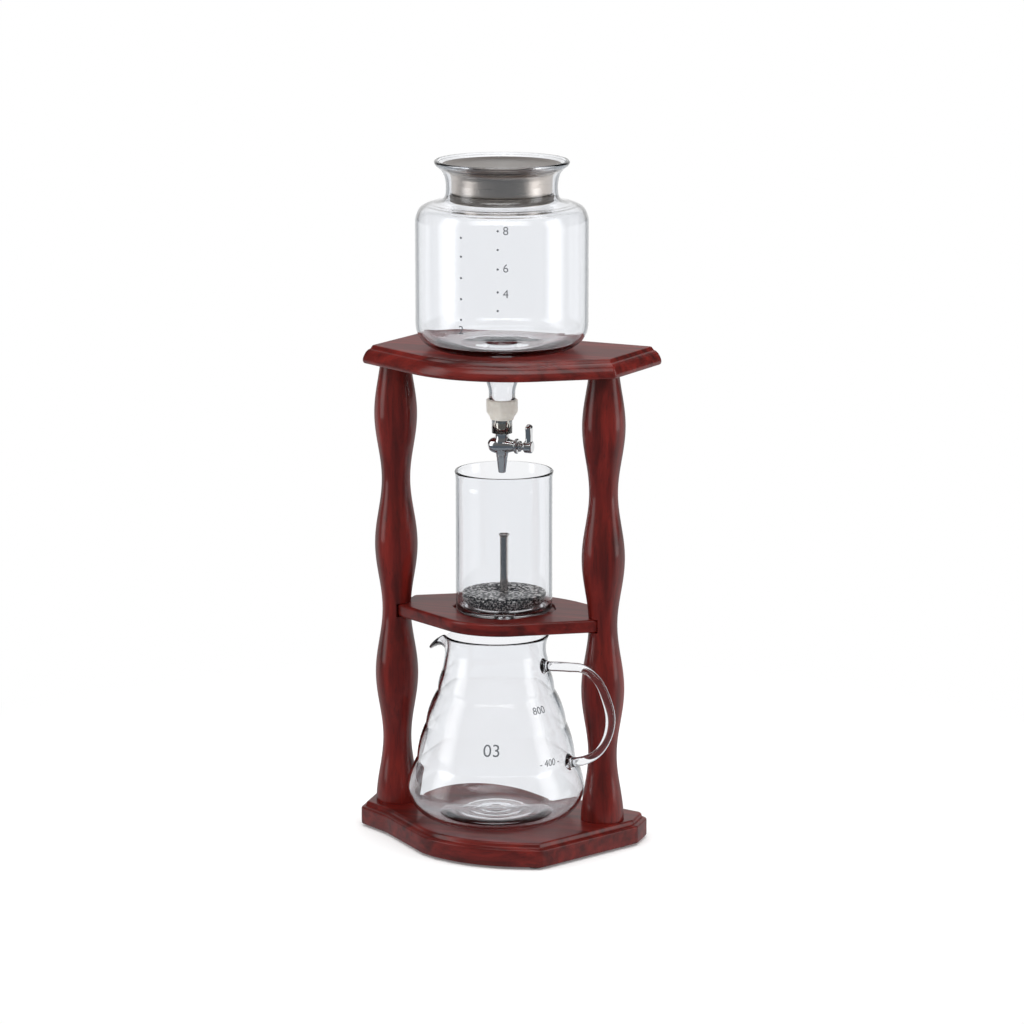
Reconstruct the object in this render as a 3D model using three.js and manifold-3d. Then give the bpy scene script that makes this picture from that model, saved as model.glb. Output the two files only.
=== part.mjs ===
// Cold drip coffee tower: a lacquered wooden stand with two turned posts that carries
// a glass water tank with a drip tap, a glass brewer with a metal filter and a glass carafe.
// Millimetres, +Z up, +X to the right and +Y to the back.

import * as THREE from 'three';
import { mergeVertices } from 'three/addons/utils/BufferGeometryUtils.js';
import Module from 'manifold-3d';

const wasm = await Module();
wasm.setup();

// Fits shared by the whole tower
const fitGap = 0.3;
const cutOverrun = 1;
const facetTolerance = 0.14;
const mergeTolerance = 1e-4;
const roundSides = 30;
const postSides = 20;
const waveSteps = 8;
const smallSides = 16;

// Carafe
const carafeRadius = 68;
const carafeWall = 2.2;
const carafeFootRadius = 44;
const carafeHeadroom = 3.4;
const carafeShiftX = 4.2;
const carafeShiftY = -18;
const carafeTurn = THREE.MathUtils.degToRad(-4);
const handleReach = 95.3;
const handleRodRadius = 3.5;
const handleWeldRadius = 4.9;
const handleSink = 1.1;
const spoutReach = 15.5;
const spoutDip = 21;
const spoutDepth = 24;
const spoutHalfAngle = THREE.MathUtils.degToRad(34);

// Posts
const postBulgeRadius = 16.5;
const postWaistRadius = 11;
const waveLength = 102.2;
const columnHeight = 346.6;
const tenonRadius = 7;
const tenonLength = 8;
const postSpacing = 2 * (carafeRadius + postBulgeRadius);
const postX = postSpacing / 2;

// Base board and its feet
const baseThickness = 18;
const baseEndMargin = 28.5;
const baseFrontReach = 95;
const baseBackReach = 62;
const baseMouldReach = 5.5;
const footHeight = 2;
const footRadius = 6;
const footPegRadius = 2.4;
const footPegLength = 5;
const boltRadius = 3;
const boltLength = 30;
const boltHeadRadius = 6.2;
const boltHeadHeight = 4;
const boltHeadRecess = 2.2;
const baseHalfWidth = postX + baseEndMargin;
const baseTopZ = footHeight + baseThickness;

// Outline of the base board: x share of its half width, y share of its front or back reach,
// corner radius share of its half width
const baseCornerShares = [
  [-0.965, -0.173, 0.056],
  [-0.712, -0.372, 0.5],
  [-0.254, -0.888, 0.56],
  [0.151, -1.045, 0.85],
  [0.583, -0.916, 0.056],
  [0.996, 0.048, 0.056],
  [0.985, 0.52, 0.08],
  [0, 1.07, 1.6],
  [-1, 0.5, 0.08],
];
const footPlaceShares = [
  [-0.83, -0.13],
  [0.51, -0.82],
  [0.87, -0.02],
  [0.55, 0.55],
  [-0.55, 0.55],
];

// Edge mouldings: share of the reach gone out, share of the thickness gone down
const baseMouldShares = [
  [0, 0],
  [0.16, 0.03],
  [0.33, 0.17],
  [0.45, 0.2],
  [0.76, 0.22],
  [0.95, 0.27],
  [1, 0.35],
  [1, 0.96],
  [0.88, 1],
];
const topMouldShares = [
  [0, 0],
  [0.15, 0.035],
  [0.22, 0.2],
  [0.43, 0.24],
  [0.68, 0.36],
  [0.86, 0.54],
  [0.97, 0.73],
  [1, 0.85],
  [0.92, 0.96],
  [0.78, 1],
];

// Glass line: the upright axis of the tank, the tap and the brewer, behind the posts' plane
const glassLineY = 7;

// Top board
const topThickness = 14.3;
const topEndMargin = 24;
const topMouldReach = 8;
const topFrontReach = 85;
const topBackReach = 71;
const topHalfWidth = postX + topEndMargin;

// Outline of the top board, drawn in at its left back and its right front like a slanted bow:
// x share of its half width, y share of its front or back reach, corner radius share of its half width
const topCornerShares = [
  [-0.975, -0.2, 0.046],
  [0.004, -1, 0.86],
  [0.925, -0.216, 0.046],
  [1.041, 0.834, 0.055],
  [0.055, 1, 2.3],
  [-0.838, 0.838, 0.075],
];
const topUndersideZ = baseTopZ + columnHeight;
const topFaceZ = topUndersideZ + topThickness;

// Shelf, lapped into the posts at their slim second waist and set over towards the carafe's axis
const shelfWaveShare = 1.5;
const shelfThickness = 10;
const shelfEdgeRadius = 2;
const shelfLap = 2.5;
const shelfShiftX = 1.6;
const shelfEndFrontReach = 15.5;
const shelfEndBackReach = 20;
const shelfFrontPointReach = 68;
const shelfBackPointReach = 69;
const shelfFrontPointRadius = 50;
const shelfBackPointRadius = 100;
const shelfCornerRadius = 4;
const shelfCentreZ = baseTopZ + shelfWaveShare * waveLength;
const shelfTopZ = shelfCentreZ + shelfThickness / 2;
const shelfBottomZ = shelfCentreZ - shelfThickness / 2;
const shelfHalfLength = postX - shelfLap;

// Tap
const collarRadius = 11.8;
const collarHeight = 16;
const collarTaper = 5.4;
const collarSides = 12;
const sleeveRadius = 7.9;
const sleeveWall = 2.1;
const sleeveDrop = 11;
const inletRadius = 3;
const inletBore = 1.5;
const tapDrop = 9;
const tapBodyRadius = 6.6;
const tapBodyLeft = 11;
const tapBodyRight = 10.4;
const tapShoulderRadius = 4.2;
const plugRadius = 2.9;
const nutLength = 2.8;
const nutRadius = 5.9;
const leverNeckLength = 5.4;
const leverNeckRadius = 4;
const leverHubRadius = 4.6;
const leverThickness = 6.2;
const leverRise = 17.7;
const leverTipRadius = 4.2;
const nozzleLength = 14.7;
const nozzleRootRadius = 4.5;
const nozzleTipRadius = 2.8;
const nozzleDip = 2.2;

// Water tank
const tankRadius = 65.8;
const tankWall = 2.4;
const tankHeelRadius = 18.8;
const tankBodyHeight = 97;
const tankShoulderHeight = 16;
const tankNeckRadius = 42.6;
const tankNeckHeight = 29;
const tankRimRadius = 51.3;
const tankPipeRadius = 12.4;
const tankOutletRadius = 10.1;
const tankOutletDrop = 33;
const tankCollarLap = 8;
const tapHoleClearance = 2;

// Lid
const lidFlangeThickness = 1.6;
const lidFlangeHeight = 2.8;
const lidSkirtTaper = 2;
const lidSkirtWall = 1.2;
const lidSealHeight = 8;
const lidSealLip = 0.8;
const lidSealGap = 0.5;

// Brewer and filter
const brewerRadius = 37.1;
const brewerWall = 2.2;
const brewerRimFlare = 0.7;
const brewerHeelRadius = 5;
const brewerOutletRadius = 4.6;
const brewerOutletDrop = 9;
const recessDepth = 2.6;
const recessClearance = 3.1;
const recessLedge = 11;
const filterRadius = 32.2;
const filterBaseRadius = 27.5;
const filterHeight = 10.6;
const filterWall = 1;
const meshThickness = 1.2;
const filterTubeRadius = 3.2;
const filterTubeWall = 0.9;
const filterTubeFlange = 1.1;
const filterTubeShare = 0.42;

// Levels that follow from the sizes above, from the top board down to the brewer's rim
const tankOutletZ = topUndersideZ - tankOutletDrop;
const collarTopZ = tankOutletZ + tankCollarLap;
const collarBottomZ = collarTopZ - collarHeight;
const sleeveBottomZ = collarBottomZ - sleeveDrop;
const tapAxisZ = sleeveBottomZ - tapDrop;
const nozzleTopZ = tapAxisZ - tapBodyRadius;
const nozzleTipZ = nozzleTopZ - nozzleLength;
const brewerFloorZ = shelfTopZ - recessDepth;
const brewerRimZ = nozzleTipZ + nozzleDip;
const recessRadius = brewerRadius + recessClearance;
const leverX = tapBodyRight + nutLength + leverNeckLength;
const leverEndX = leverX + leverThickness;
const tapHoleRadius = Math.hypot(leverEndX, leverRise) + tapHoleClearance;

// Mesh helpers

function cleanMesh(geometry) {
  const bare = geometry.index ? geometry.toNonIndexed() : geometry.clone();
  bare.deleteAttribute('normal');
  bare.deleteAttribute('uv');
  const merged = mergeVertices(bare, mergeTolerance);
  const index = merged.index.array;
  const kept = [];
  for (let i = 0; i < index.length; i += 3) {
    const [a, b, c] = [index[i], index[i + 1], index[i + 2]];
    if (a !== b && b !== c && a !== c) kept.push(a, b, c);
  }
  merged.setIndex(kept);
  return merged;
}

function toSolid(geometry) {
  const merged = cleanMesh(geometry);
  return new wasm.Manifold(new wasm.Mesh({
    numProp: 3,
    vertProperties: new Float32Array(merged.attributes.position.array),
    triVerts: new Uint32Array(merged.index.array),
  }));
}

function toGeometry(solid) {
  const mesh = solid.getMesh();
  const geometry = new THREE.BufferGeometry();
  geometry.setAttribute('position', new THREE.BufferAttribute(new Float32Array(mesh.vertProperties), 3));
  geometry.setIndex(new THREE.BufferAttribute(new Uint32Array(mesh.triVerts), 1));
  return geometry;
}

function cut(geometry, ...tools) {
  return toGeometry(tools.reduce((solid, tool) => solid.subtract(toSolid(tool)), toSolid(geometry)));
}

function join(geometry, ...others) {
  return toGeometry(others.reduce((solid, other) => solid.add(toSolid(other)), toSolid(geometry)));
}

// Turned shape about the Z axis from [radius, height] points, listed with rising outer walls
function turned(points, sides) {
  const profile = points.map(([radius, height]) => new THREE.Vector2(Math.max(radius, 0), height));
  return new THREE.LatheGeometry(profile, sides).rotateX(Math.PI / 2);
}

function rod(radius, bottomZ, topZ, sides) {
  return turned([[0, bottomZ], [radius, bottomZ], [radius, topZ], [0, topZ]], sides);
}

function ring(innerRadius, outerRadius, bottomZ, topZ, sides) {
  return turned([
    [innerRadius, bottomZ], [outerRadius, bottomZ], [outerRadius, topZ], [innerRadius, topZ],
    [innerRadius, bottomZ],
  ], sides);
}

function lathedAlongX(points, sides) {
  return turned(points, sides).rotateY(Math.PI / 2);
}

// Points of a closed outline with rounded corners, moved inward by inset; every inset of one
// outline has the same number of points, so that rings of them can be joined
function roundedOutline(corners, inset) {
  const count = corners.length;
  const edges = corners.map((corner, i) => {
    const next = corners[(i + 1) % count];
    const direction = new THREE.Vector2(next.x - corner.x, next.y - corner.y).normalize();
    const inward = new THREE.Vector2(-direction.y, direction.x);
    return { direction, origin: new THREE.Vector2(corner.x, corner.y).addScaledVector(inward, inset) };
  });
  const points = [];
  corners.forEach((corner, i) => {
    const before = edges[(i + count - 1) % count];
    const after = edges[i];
    const turn = Math.atan2(before.direction.cross(after.direction), before.direction.dot(after.direction));
    const reach = after.origin.clone().sub(before.origin).cross(after.direction) / Math.sin(turn);
    const vertex = before.origin.clone().addScaledVector(before.direction, reach);
    const radius = Math.max(corner.radius - Math.sign(turn) * inset, fitGap);
    const steps = Math.max(2, Math.ceil(Math.abs(turn) / (2 * Math.acos(1 - facetTolerance / corner.radius))));
    const tangent = radius * Math.tan(Math.abs(turn) / 2);
    const start = vertex.clone().addScaledVector(before.direction, -tangent);
    const side = new THREE.Vector2(-before.direction.y, before.direction.x).multiplyScalar(Math.sign(turn));
    const centre = start.clone().addScaledVector(side, radius);
    for (let k = 0; k <= steps; k += 1) {
      const spoke = start.clone().sub(centre).rotateAround(new THREE.Vector2(), (turn * k) / steps);
      points.push(centre.clone().add(spoke));
    }
  });
  return points;
}

// Closed solid through rings of points with one count, from the bottom ring to the top ring
function loft(rings) {
  const count = rings[0].points.length;
  const positions = rings.flatMap(({ points, z }) => points.flatMap((p) => [p.x, p.y, z]));
  const index = [];
  for (let level = 0; level < rings.length - 1; level += 1) {
    for (let i = 0; i < count; i += 1) {
      const next = (i + 1) % count;
      const [a, b] = [level * count + i, level * count + next];
      index.push(a, b, b + count, a, b + count, a + count);
    }
  }
  const last = (rings.length - 1) * count;
  const bottomFaces = THREE.ShapeUtils.triangulateShape(rings[0].points, []);
  const topFaces = THREE.ShapeUtils.triangulateShape(rings[rings.length - 1].points, []);
  bottomFaces.forEach(([a, b, c]) => index.push(a, c, b));
  topFaces.forEach(([a, b, c]) => index.push(last + a, last + b, last + c));
  const geometry = new THREE.BufferGeometry();
  geometry.setAttribute('position', new THREE.Float32BufferAttribute(positions, 3));
  geometry.setIndex(index);
  return geometry;
}

function placedCorners(cornerShares, halfWidth, frontReach, backReach) {
  return cornerShares.map(([xShare, yShare, radiusShare]) => ({
    x: xShare * halfWidth,
    y: yShare * (yShare < 0 ? frontReach : backReach),
    radius: radiusShare * halfWidth,
  }));
}

function mouldedBoard(corners, mouldShares, mouldReach, thickness, topZ) {
  const rings = mouldShares.map(([outShare, downShare]) => ({
    points: roundedOutline(corners, mouldReach * (1 - outShare)),
    z: topZ - thickness * downShare,
  }));
  return loft(rings.reverse());
}

// Arc points [radius, height] round a centre, angles in degrees from the outward direction
function arc(centreRadius, centreZ, radius, fromDegrees, toDegrees, steps) {
  return Array.from({ length: steps + 1 }, (_, k) => {
    const angle = THREE.MathUtils.degToRad(fromDegrees + ((toDegrees - fromDegrees) * k) / steps);
    return [centreRadius + radius * Math.cos(angle), centreZ + radius * Math.sin(angle)];
  });
}

// Closed glass profile: the outer wall upward, then the wall's inner face downward
function glassProfile(outer, wall) {
  const inner = outer.map(([radius, height], i) => {
    const before = outer[Math.max(i - 1, 0)];
    const after = outer[Math.min(i + 1, outer.length - 1)];
    const run = Math.hypot(after[0] - before[0], after[1] - before[1]);
    const inwardR = -(after[1] - before[1]) / run;
    const inwardZ = (after[0] - before[0]) / run;
    return [radius + wall * inwardR, height + wall * inwardZ];
  });
  const [[outerR, outerZ], [innerR, innerZ]] = [outer.at(-1), inner.at(-1)];
  const lip = [(outerR + innerR + innerZ - outerZ) / 2, (outerZ + innerZ + outerR - innerR) / 2];
  return [...outer, lip, ...inner.reverse(), outer[0]];
}

// Radii at which a profile crosses a height, the smallest first
function crossings(profile, z) {
  return profile.slice(1).flatMap(([r1, z1], i) => {
    const [r0, z0] = profile[i];
    return (z0 - z) * (z1 - z) < 0 ? [r0 + ((r1 - r0) * (z - z0)) / (z1 - z0)] : [];
  }).sort((a, b) => a - b);
}

// Materials
const lacqueredWood = new THREE.MeshStandardMaterial({ color: 0x6a2a22, roughness: 0.22, metalness: 0 });
const clearGlass = new THREE.MeshStandardMaterial({
  color: 0xe9edf2, roughness: 0.04, metalness: 0, transparent: true, opacity: 0.35,
});
const brushedSteel = new THREE.MeshStandardMaterial({ color: 0x96908a, roughness: 0.35, metalness: 1 });
const chrome = new THREE.MeshStandardMaterial({ color: 0xc9ccd0, roughness: 0.08, metalness: 1 });
const darkRubber = new THREE.MeshStandardMaterial({ color: 0x35332f, roughness: 0.7, metalness: 0 });
const paleSilicone = new THREE.MeshStandardMaterial({ color: 0xe1dcd2, roughness: 0.5, metalness: 0 });
const clearPlastic = new THREE.MeshStandardMaterial({
  color: 0xf0f0ee, roughness: 0.1, metalness: 0, transparent: true, opacity: 0.45,
});

const tower = new THREE.Group();

function add(parent, name, geometry, material) {
  const shape = cleanMesh(geometry);
  shape.computeVertexNormals();
  const mesh = new THREE.Mesh(shape, material);
  mesh.name = name;
  parent.add(mesh);
  return mesh;
}

// Base board with a moulded edge, a blind hole for each foot and a bolt hole under each post
const baseCorners = placedCorners(baseCornerShares, baseHalfWidth, baseFrontReach, baseBackReach);
const footPlaces = footPlaceShares.map(([xShare, yShare]) => ({
  x: xShare * baseHalfWidth,
  y: yShare * (yShare < 0 ? baseFrontReach : baseBackReach),
}));
const boltHeadSpace = boltHeadRecess + boltHeadHeight;

function makeBase() {
  const board = mouldedBoard(baseCorners, baseMouldShares, baseMouldReach, baseThickness, baseTopZ);
  const pegHoles = footPlaces.map(({ x, y }) =>
    rod(footPegRadius + fitGap, footHeight - cutOverrun, footHeight + footPegLength + fitGap, smallSides)
      .translate(x, y, 0));
  const boltHoles = [-postX, postX].flatMap((x) => [
    rod(boltRadius + fitGap, footHeight - cutOverrun, baseTopZ + cutOverrun, smallSides).translate(x, 0, 0),
    rod(boltHeadRadius + fitGap, footHeight - cutOverrun, footHeight + boltHeadSpace, smallSides)
      .translate(x, 0, 0),
  ]);
  add(tower, 'base_board', cut(board, ...pegHoles, ...boltHoles), lacqueredWood);
}

function makeFeet() {
  footPlaces.forEach(({ x, y }, i) => {
    const foot = turned([
      [0, 0], [footRadius * 0.85, 0], [footRadius, footHeight * 0.4], [footRadius, footHeight - fitGap],
      [footPegRadius, footHeight - fitGap], [footPegRadius, footHeight + footPegLength - fitGap],
      [0, footHeight + footPegLength - fitGap],
    ], smallSides);
    add(tower, `foot_${i + 1}`, foot.translate(x, y, 0), darkRubber);
  });
}

// Turned post: a wave that starts full at the foot, with a tenon for the top board, a hole for
// the bolt from below and a lap cut for the shelf
function makePost(name, x) {
  const mean = (postBulgeRadius + postWaistRadius) / 2;
  const swing = (postBulgeRadius - postWaistRadius) / 2;
  const footZ = baseTopZ + fitGap;
  const neckZ = topUndersideZ - fitGap;
  const stepCount = Math.round((neckZ - footZ) / (waveLength / waveSteps));
  const wave = Array.from({ length: stepCount + 1 }, (_, k) => {
    const z = footZ + ((neckZ - footZ) * k) / stepCount;
    return [mean + swing * Math.cos((2 * Math.PI * (z - baseTopZ)) / waveLength), z];
  });
  const tenonTopZ = neckZ + tenonLength;
  const body = turned([[0, footZ], ...wave, [tenonRadius, neckZ], [tenonRadius, tenonTopZ], [0, tenonTopZ]], postSides);
  const boltTopZ = footHeight + boltHeadRecess + boltHeadHeight + boltLength;
  const boltHole = rod(boltRadius + fitGap, footZ - cutOverrun, boltTopZ + fitGap, smallSides);
  const inward = -Math.sign(x);
  const lapWidth = 2 * postBulgeRadius;
  const lap = new THREE.BoxGeometry(lapWidth, lapWidth, shelfThickness + 2 * fitGap)
    .translate(shelfShiftX + inward * (shelfLap - fitGap + lapWidth / 2), 0, shelfCentreZ);
  add(tower, name, cut(body, boltHole, lap).translate(x, 0, 0), lacqueredWood);
}

function makeBolt(name, x) {
  const headZ = footHeight + boltHeadRecess;
  const neckZ = headZ + boltHeadHeight - fitGap;
  const bolt = turned([
    [0, headZ], [boltHeadRadius * 0.9, headZ], [boltHeadRadius, headZ + boltHeadHeight * 0.3],
    [boltHeadRadius, neckZ], [boltRadius, neckZ], [boltRadius, neckZ + boltLength], [0, neckZ + boltLength],
  ], smallSides);
  add(tower, name, bolt.translate(x, 0, 0), brushedSteel);
}

// Shelf: a six-sided board, pointed softly to the front and the back, with a stepped round hole
function makeShelf() {
  const frontY = glassLineY - shelfEndFrontReach;
  const backY = glassLineY + shelfEndBackReach;
  const corners = [
    { x: -shelfHalfLength, y: frontY, radius: shelfCornerRadius },
    { x: 0, y: glassLineY - shelfFrontPointReach, radius: shelfFrontPointRadius },
    { x: shelfHalfLength, y: frontY, radius: shelfCornerRadius },
    { x: shelfHalfLength, y: backY, radius: shelfCornerRadius },
    { x: 0, y: glassLineY + shelfBackPointReach, radius: shelfBackPointRadius },
    { x: -shelfHalfLength, y: backY, radius: shelfCornerRadius },
  ];
  const rounding = [-90, -45, 0].map((degrees) => THREE.MathUtils.degToRad(degrees));
  const lower = rounding.map((angle) => ({
    points: roundedOutline(corners, shelfEdgeRadius * (1 - Math.cos(angle))),
    z: shelfBottomZ + shelfEdgeRadius * (1 + Math.sin(angle)),
  }));
  const upper = rounding.map((angle) => ({
    points: roundedOutline(corners, shelfEdgeRadius * (1 - Math.cos(angle))),
    z: shelfTopZ - shelfEdgeRadius * (1 + Math.sin(angle)),
  })).reverse();
  const board = loft([...lower, ...upper]);
  const recess = rod(recessRadius, brewerFloorZ, shelfTopZ + cutOverrun, roundSides);
  const through = rod(recessRadius - recessLedge, shelfBottomZ - cutOverrun, shelfTopZ, roundSides);
  const shelf = cut(board, recess.translate(0, glassLineY, 0), through.translate(0, glassLineY, 0));
  add(tower, 'shelf', shelf.translate(shelfShiftX, 0, 0), lacqueredWood);
}

// Top board with a moulded edge, a hole for the tap and a blind hole for each post's tenon
function makeTopBoard() {
  const corners = placedCorners(topCornerShares, topHalfWidth, topFrontReach, topBackReach);
  const board = mouldedBoard(corners, topMouldShares, topMouldReach, topThickness, topFaceZ);
  const tapHole = rod(tapHoleRadius, topUndersideZ - cutOverrun, topFaceZ + cutOverrun, roundSides);
  const tenonHoles = [-postX, postX].map((x) =>
    rod(tenonRadius + fitGap, topUndersideZ - cutOverrun, topUndersideZ + tenonLength, smallSides)
      .translate(x, 0, 0));
  add(tower, 'top_board', cut(board, tapHole.translate(0, glassLineY, 0), ...tenonHoles), lacqueredWood);
}

// Tank: a round glass vessel with a neck for the lid above and an outlet for the tap below
const tankFootZ = topFaceZ + fitGap;
const tankBodyTopZ = tankFootZ + tankBodyHeight;
const tankNeckZ = tankBodyTopZ + tankShoulderHeight;
const tankRimZ = tankNeckZ + tankNeckHeight;

function tankProfile() {
  const heelCentreR = tankRadius - tankHeelRadius;
  const heelZ = tankFootZ + tankHeelRadius;
  const shoulderRun = tankRadius - tankNeckRadius;
  const neckRise = tankRimRadius - tankNeckRadius;
  const outer = [
    [tankOutletRadius, tankOutletZ],
    [tankOutletRadius, tankOutletZ + tankOutletDrop * 0.45],
    [tankPipeRadius, tankOutletZ + tankOutletDrop * 0.68],
    [tankPipeRadius + tankWall * 0.4, tankFootZ + tankWall * 0.5],
    ...arc(heelCentreR, heelZ, tankHeelRadius, -90, 0, 3),
    [tankRadius, tankBodyTopZ],
    [tankRadius - shoulderRun * 0.08, tankBodyTopZ + tankShoulderHeight * 0.4],
    [tankRadius - shoulderRun * 0.4, tankBodyTopZ + tankShoulderHeight * 0.8],
    [tankNeckRadius + shoulderRun * 0.12, tankNeckZ],
    [tankNeckRadius, tankNeckZ + tankNeckHeight * 0.3],
    [tankNeckRadius + neckRise * 0.26, tankNeckZ + tankNeckHeight * 0.7],
    [tankRimRadius - tankWall * 0.3, tankRimZ - tankWall * 1.15],
    [tankRimRadius, tankRimZ - tankWall * 0.65],
  ];
  return glassProfile(outer, tankWall);
}

function makeTank(parent) {
  add(parent, 'tank_glass', turned(tankProfile(), roundSides), clearGlass);
}

// Lid: a steel cap that hangs in the neck by its flange, with a seal round its skirt
const lidSealRadius = tankNeckRadius - tankWall - lidSealGap;
const lidSealZ = tankNeckZ - lidSealHeight * 0.4;

function makeLid(parent) {
  const flangeZ = tankRimZ - tankWall * 0.6;
  const flangeRadius = crossings(tankProfile(), flangeZ - lidFlangeHeight)[0] - fitGap * 0.5;
  const skirtTopRadius = lidSealRadius - lidSkirtWall;
  const skirtFootRadius = skirtTopRadius - lidSkirtTaper;
  const skirtTopZ = tankNeckZ + tankNeckHeight * 0.62;
  const cap = turned([
    [skirtFootRadius - lidSkirtWall, lidSealZ],
    [skirtFootRadius + lidSealLip, lidSealZ],
    [skirtFootRadius + lidSealLip, lidSealZ + lidSkirtWall],
    [skirtFootRadius, lidSealZ + lidSkirtWall],
    [skirtFootRadius, lidSealZ + lidSealHeight + lidSkirtWall],
    [skirtTopRadius, skirtTopZ],
    [skirtTopRadius + lidSkirtWall, flangeZ - lidFlangeHeight],
    [flangeRadius - fitGap, flangeZ - lidFlangeHeight],
    [flangeRadius, flangeZ - lidFlangeHeight + fitGap],
    [flangeRadius, flangeZ - fitGap],
    [flangeRadius - fitGap, flangeZ],
    [0, flangeZ],
    [0, flangeZ - lidFlangeThickness],
    [skirtTopRadius - 2 * lidSkirtWall, flangeZ - lidFlangeThickness],
    [skirtTopRadius - lidSkirtWall, skirtTopZ],
    [skirtFootRadius - lidSkirtWall, lidSealZ + lidSealHeight],
    [skirtFootRadius - lidSkirtWall, lidSealZ],
  ], roundSides);
  add(parent, 'lid_cap', cap, brushedSteel);
  const sealInner = skirtFootRadius + fitGap;
  const sealFootZ = lidSealZ + lidSkirtWall + fitGap;
  const sealTopZ = lidSealZ + lidSealHeight;
  const seal = turned([
    [sealInner, sealFootZ],
    [lidSealRadius - lidSealLip, sealFootZ],
    [lidSealRadius, sealFootZ + lidSealHeight * 0.15],
    [lidSealRadius - lidSealLip, sealFootZ + lidSealHeight * 0.4],
    [lidSealRadius, sealTopZ - lidSealHeight * 0.15],
    [lidSealRadius - lidSealLip, sealTopZ],
    [sealInner, sealTopZ],
    [sealInner, sealFootZ],
  ], roundSides);
  add(parent, 'lid_seal', seal, darkRubber);
}

// Collar and sleeve: the soft joint that hangs the tap on the tank's outlet
const sleeveTopZ = collarBottomZ + collarTaper;
const inletTopZ = sleeveTopZ + collarTaper * 0.5;

function makeCollar(parent) {
  const lowerBore = sleeveRadius + fitGap;
  const socketZ = tankOutletZ - fitGap;
  const shell = turned([
    [0, collarBottomZ], [sleeveRadius + 2 * fitGap + collarTaper * 0.2, collarBottomZ],
    [collarRadius, sleeveTopZ], [collarRadius, collarTopZ - collarTaper * 0.1],
    [collarRadius - collarTaper * 0.2, collarTopZ], [0, collarTopZ],
  ], collarSides);
  const socket = rod(tankOutletRadius + fitGap, socketZ, collarTopZ + cutOverrun, roundSides);
  const sleeveBore = rod(lowerBore, collarBottomZ - cutOverrun, sleeveTopZ + fitGap, roundSides);
  const passage = rod(inletRadius + collarTaper * 0.3, collarBottomZ, collarTopZ, smallSides);
  add(parent, 'tap_collar', cut(shell, socket, sleeveBore, passage), paleSilicone);
  const sleeve = ring(sleeveRadius - sleeveWall, sleeveRadius, sleeveBottomZ + fitGap, sleeveTopZ, roundSides);
  add(parent, 'tap_sleeve', sleeve, clearPlastic);
}

// Tap body: a bulb lying along X with an upright neck, bored for the plug and the water
const plugBoreRadius = plugRadius + fitGap;
const plugLeftX = -tapBodyLeft * 0.62;

function makeTapBody(parent) {
  const bulb = lathedAlongX([
    [0, -tapBodyLeft],
    [tapBodyRadius * 0.45, -tapBodyLeft * 0.93],
    [tapBodyRadius * 0.8, -tapBodyLeft * 0.7],
    [tapBodyRadius, -tapBodyLeft * 0.25],
    [tapBodyRadius * 0.95, tapBodyRight * 0.2],
    [tapShoulderRadius * 1.1, tapBodyRight * 0.72],
    [tapShoulderRadius, tapBodyRight],
    [0, tapBodyRight],
  ], 24);
  const neckTopZ = sleeveBottomZ - tapAxisZ;
  const neck = rod(sleeveRadius - sleeveWall, -tapShoulderRadius, neckTopZ, 24);
  const socket = rod(nozzleRootRadius, -tapBodyRadius, 0, 24);
  const plugBore = lathedAlongX([
    [0, plugLeftX - fitGap], [plugBoreRadius, plugLeftX - fitGap],
    [plugBoreRadius, tapBodyRight + cutOverrun], [0, tapBodyRight + cutOverrun],
  ], smallSides);
  const waterway = rod(inletBore, -tapBodyRadius - cutOverrun, neckTopZ + cutOverrun, smallSides);
  const inletSocket = rod(inletRadius + fitGap, neckTopZ - inletRadius, neckTopZ + cutOverrun, smallSides);
  const body = cut(join(bulb, neck, socket), plugBore, waterway, inletSocket);
  add(parent, 'tap_body', body.translate(0, 0, tapAxisZ), chrome);
}

function makeInlet(parent) {
  const footZ = sleeveBottomZ - inletRadius + fitGap;
  const barbRadius = sleeveRadius - sleeveWall - fitGap;
  const inlet = turned([
    [inletBore, footZ],
    [inletRadius, footZ],
    [inletRadius, sleeveTopZ - collarTaper * 0.5],
    [barbRadius, sleeveTopZ - collarTaper * 0.5],
    [barbRadius, sleeveTopZ - collarTaper * 0.25],
    [inletRadius, sleeveTopZ + collarTaper * 0.2],
    [inletRadius, inletTopZ],
    [inletBore, inletTopZ],
    [inletBore, footZ],
  ], smallSides);
  add(parent, 'tap_inlet', inlet, chrome);
}

function makeNozzle(parent) {
  const rootZ = nozzleTopZ - fitGap;
  const nozzle = turned([
    [inletBore, nozzleTipZ],
    [nozzleTipRadius - fitGap, nozzleTipZ],
    [nozzleTipRadius, nozzleTipZ + fitGap],
    [nozzleRootRadius, rootZ - tapShoulderRadius * 0.25],
    [nozzleRootRadius, rootZ],
    [inletBore, rootZ],
    [inletBore, nozzleTipZ],
  ], 24);
  add(parent, 'tap_nozzle', nozzle, chrome);
}

function hexNut(acrossRadius, bore, fromX, toX) {
  const prism = lathedAlongX([[0, fromX], [acrossRadius, fromX], [acrossRadius, toX], [0, toX]], 6);
  const hole = lathedAlongX([
    [0, fromX - cutOverrun], [bore, fromX - cutOverrun], [bore, toX + cutOverrun], [0, toX + cutOverrun],
  ], smallSides);
  return cut(prism, hole);
}

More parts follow.
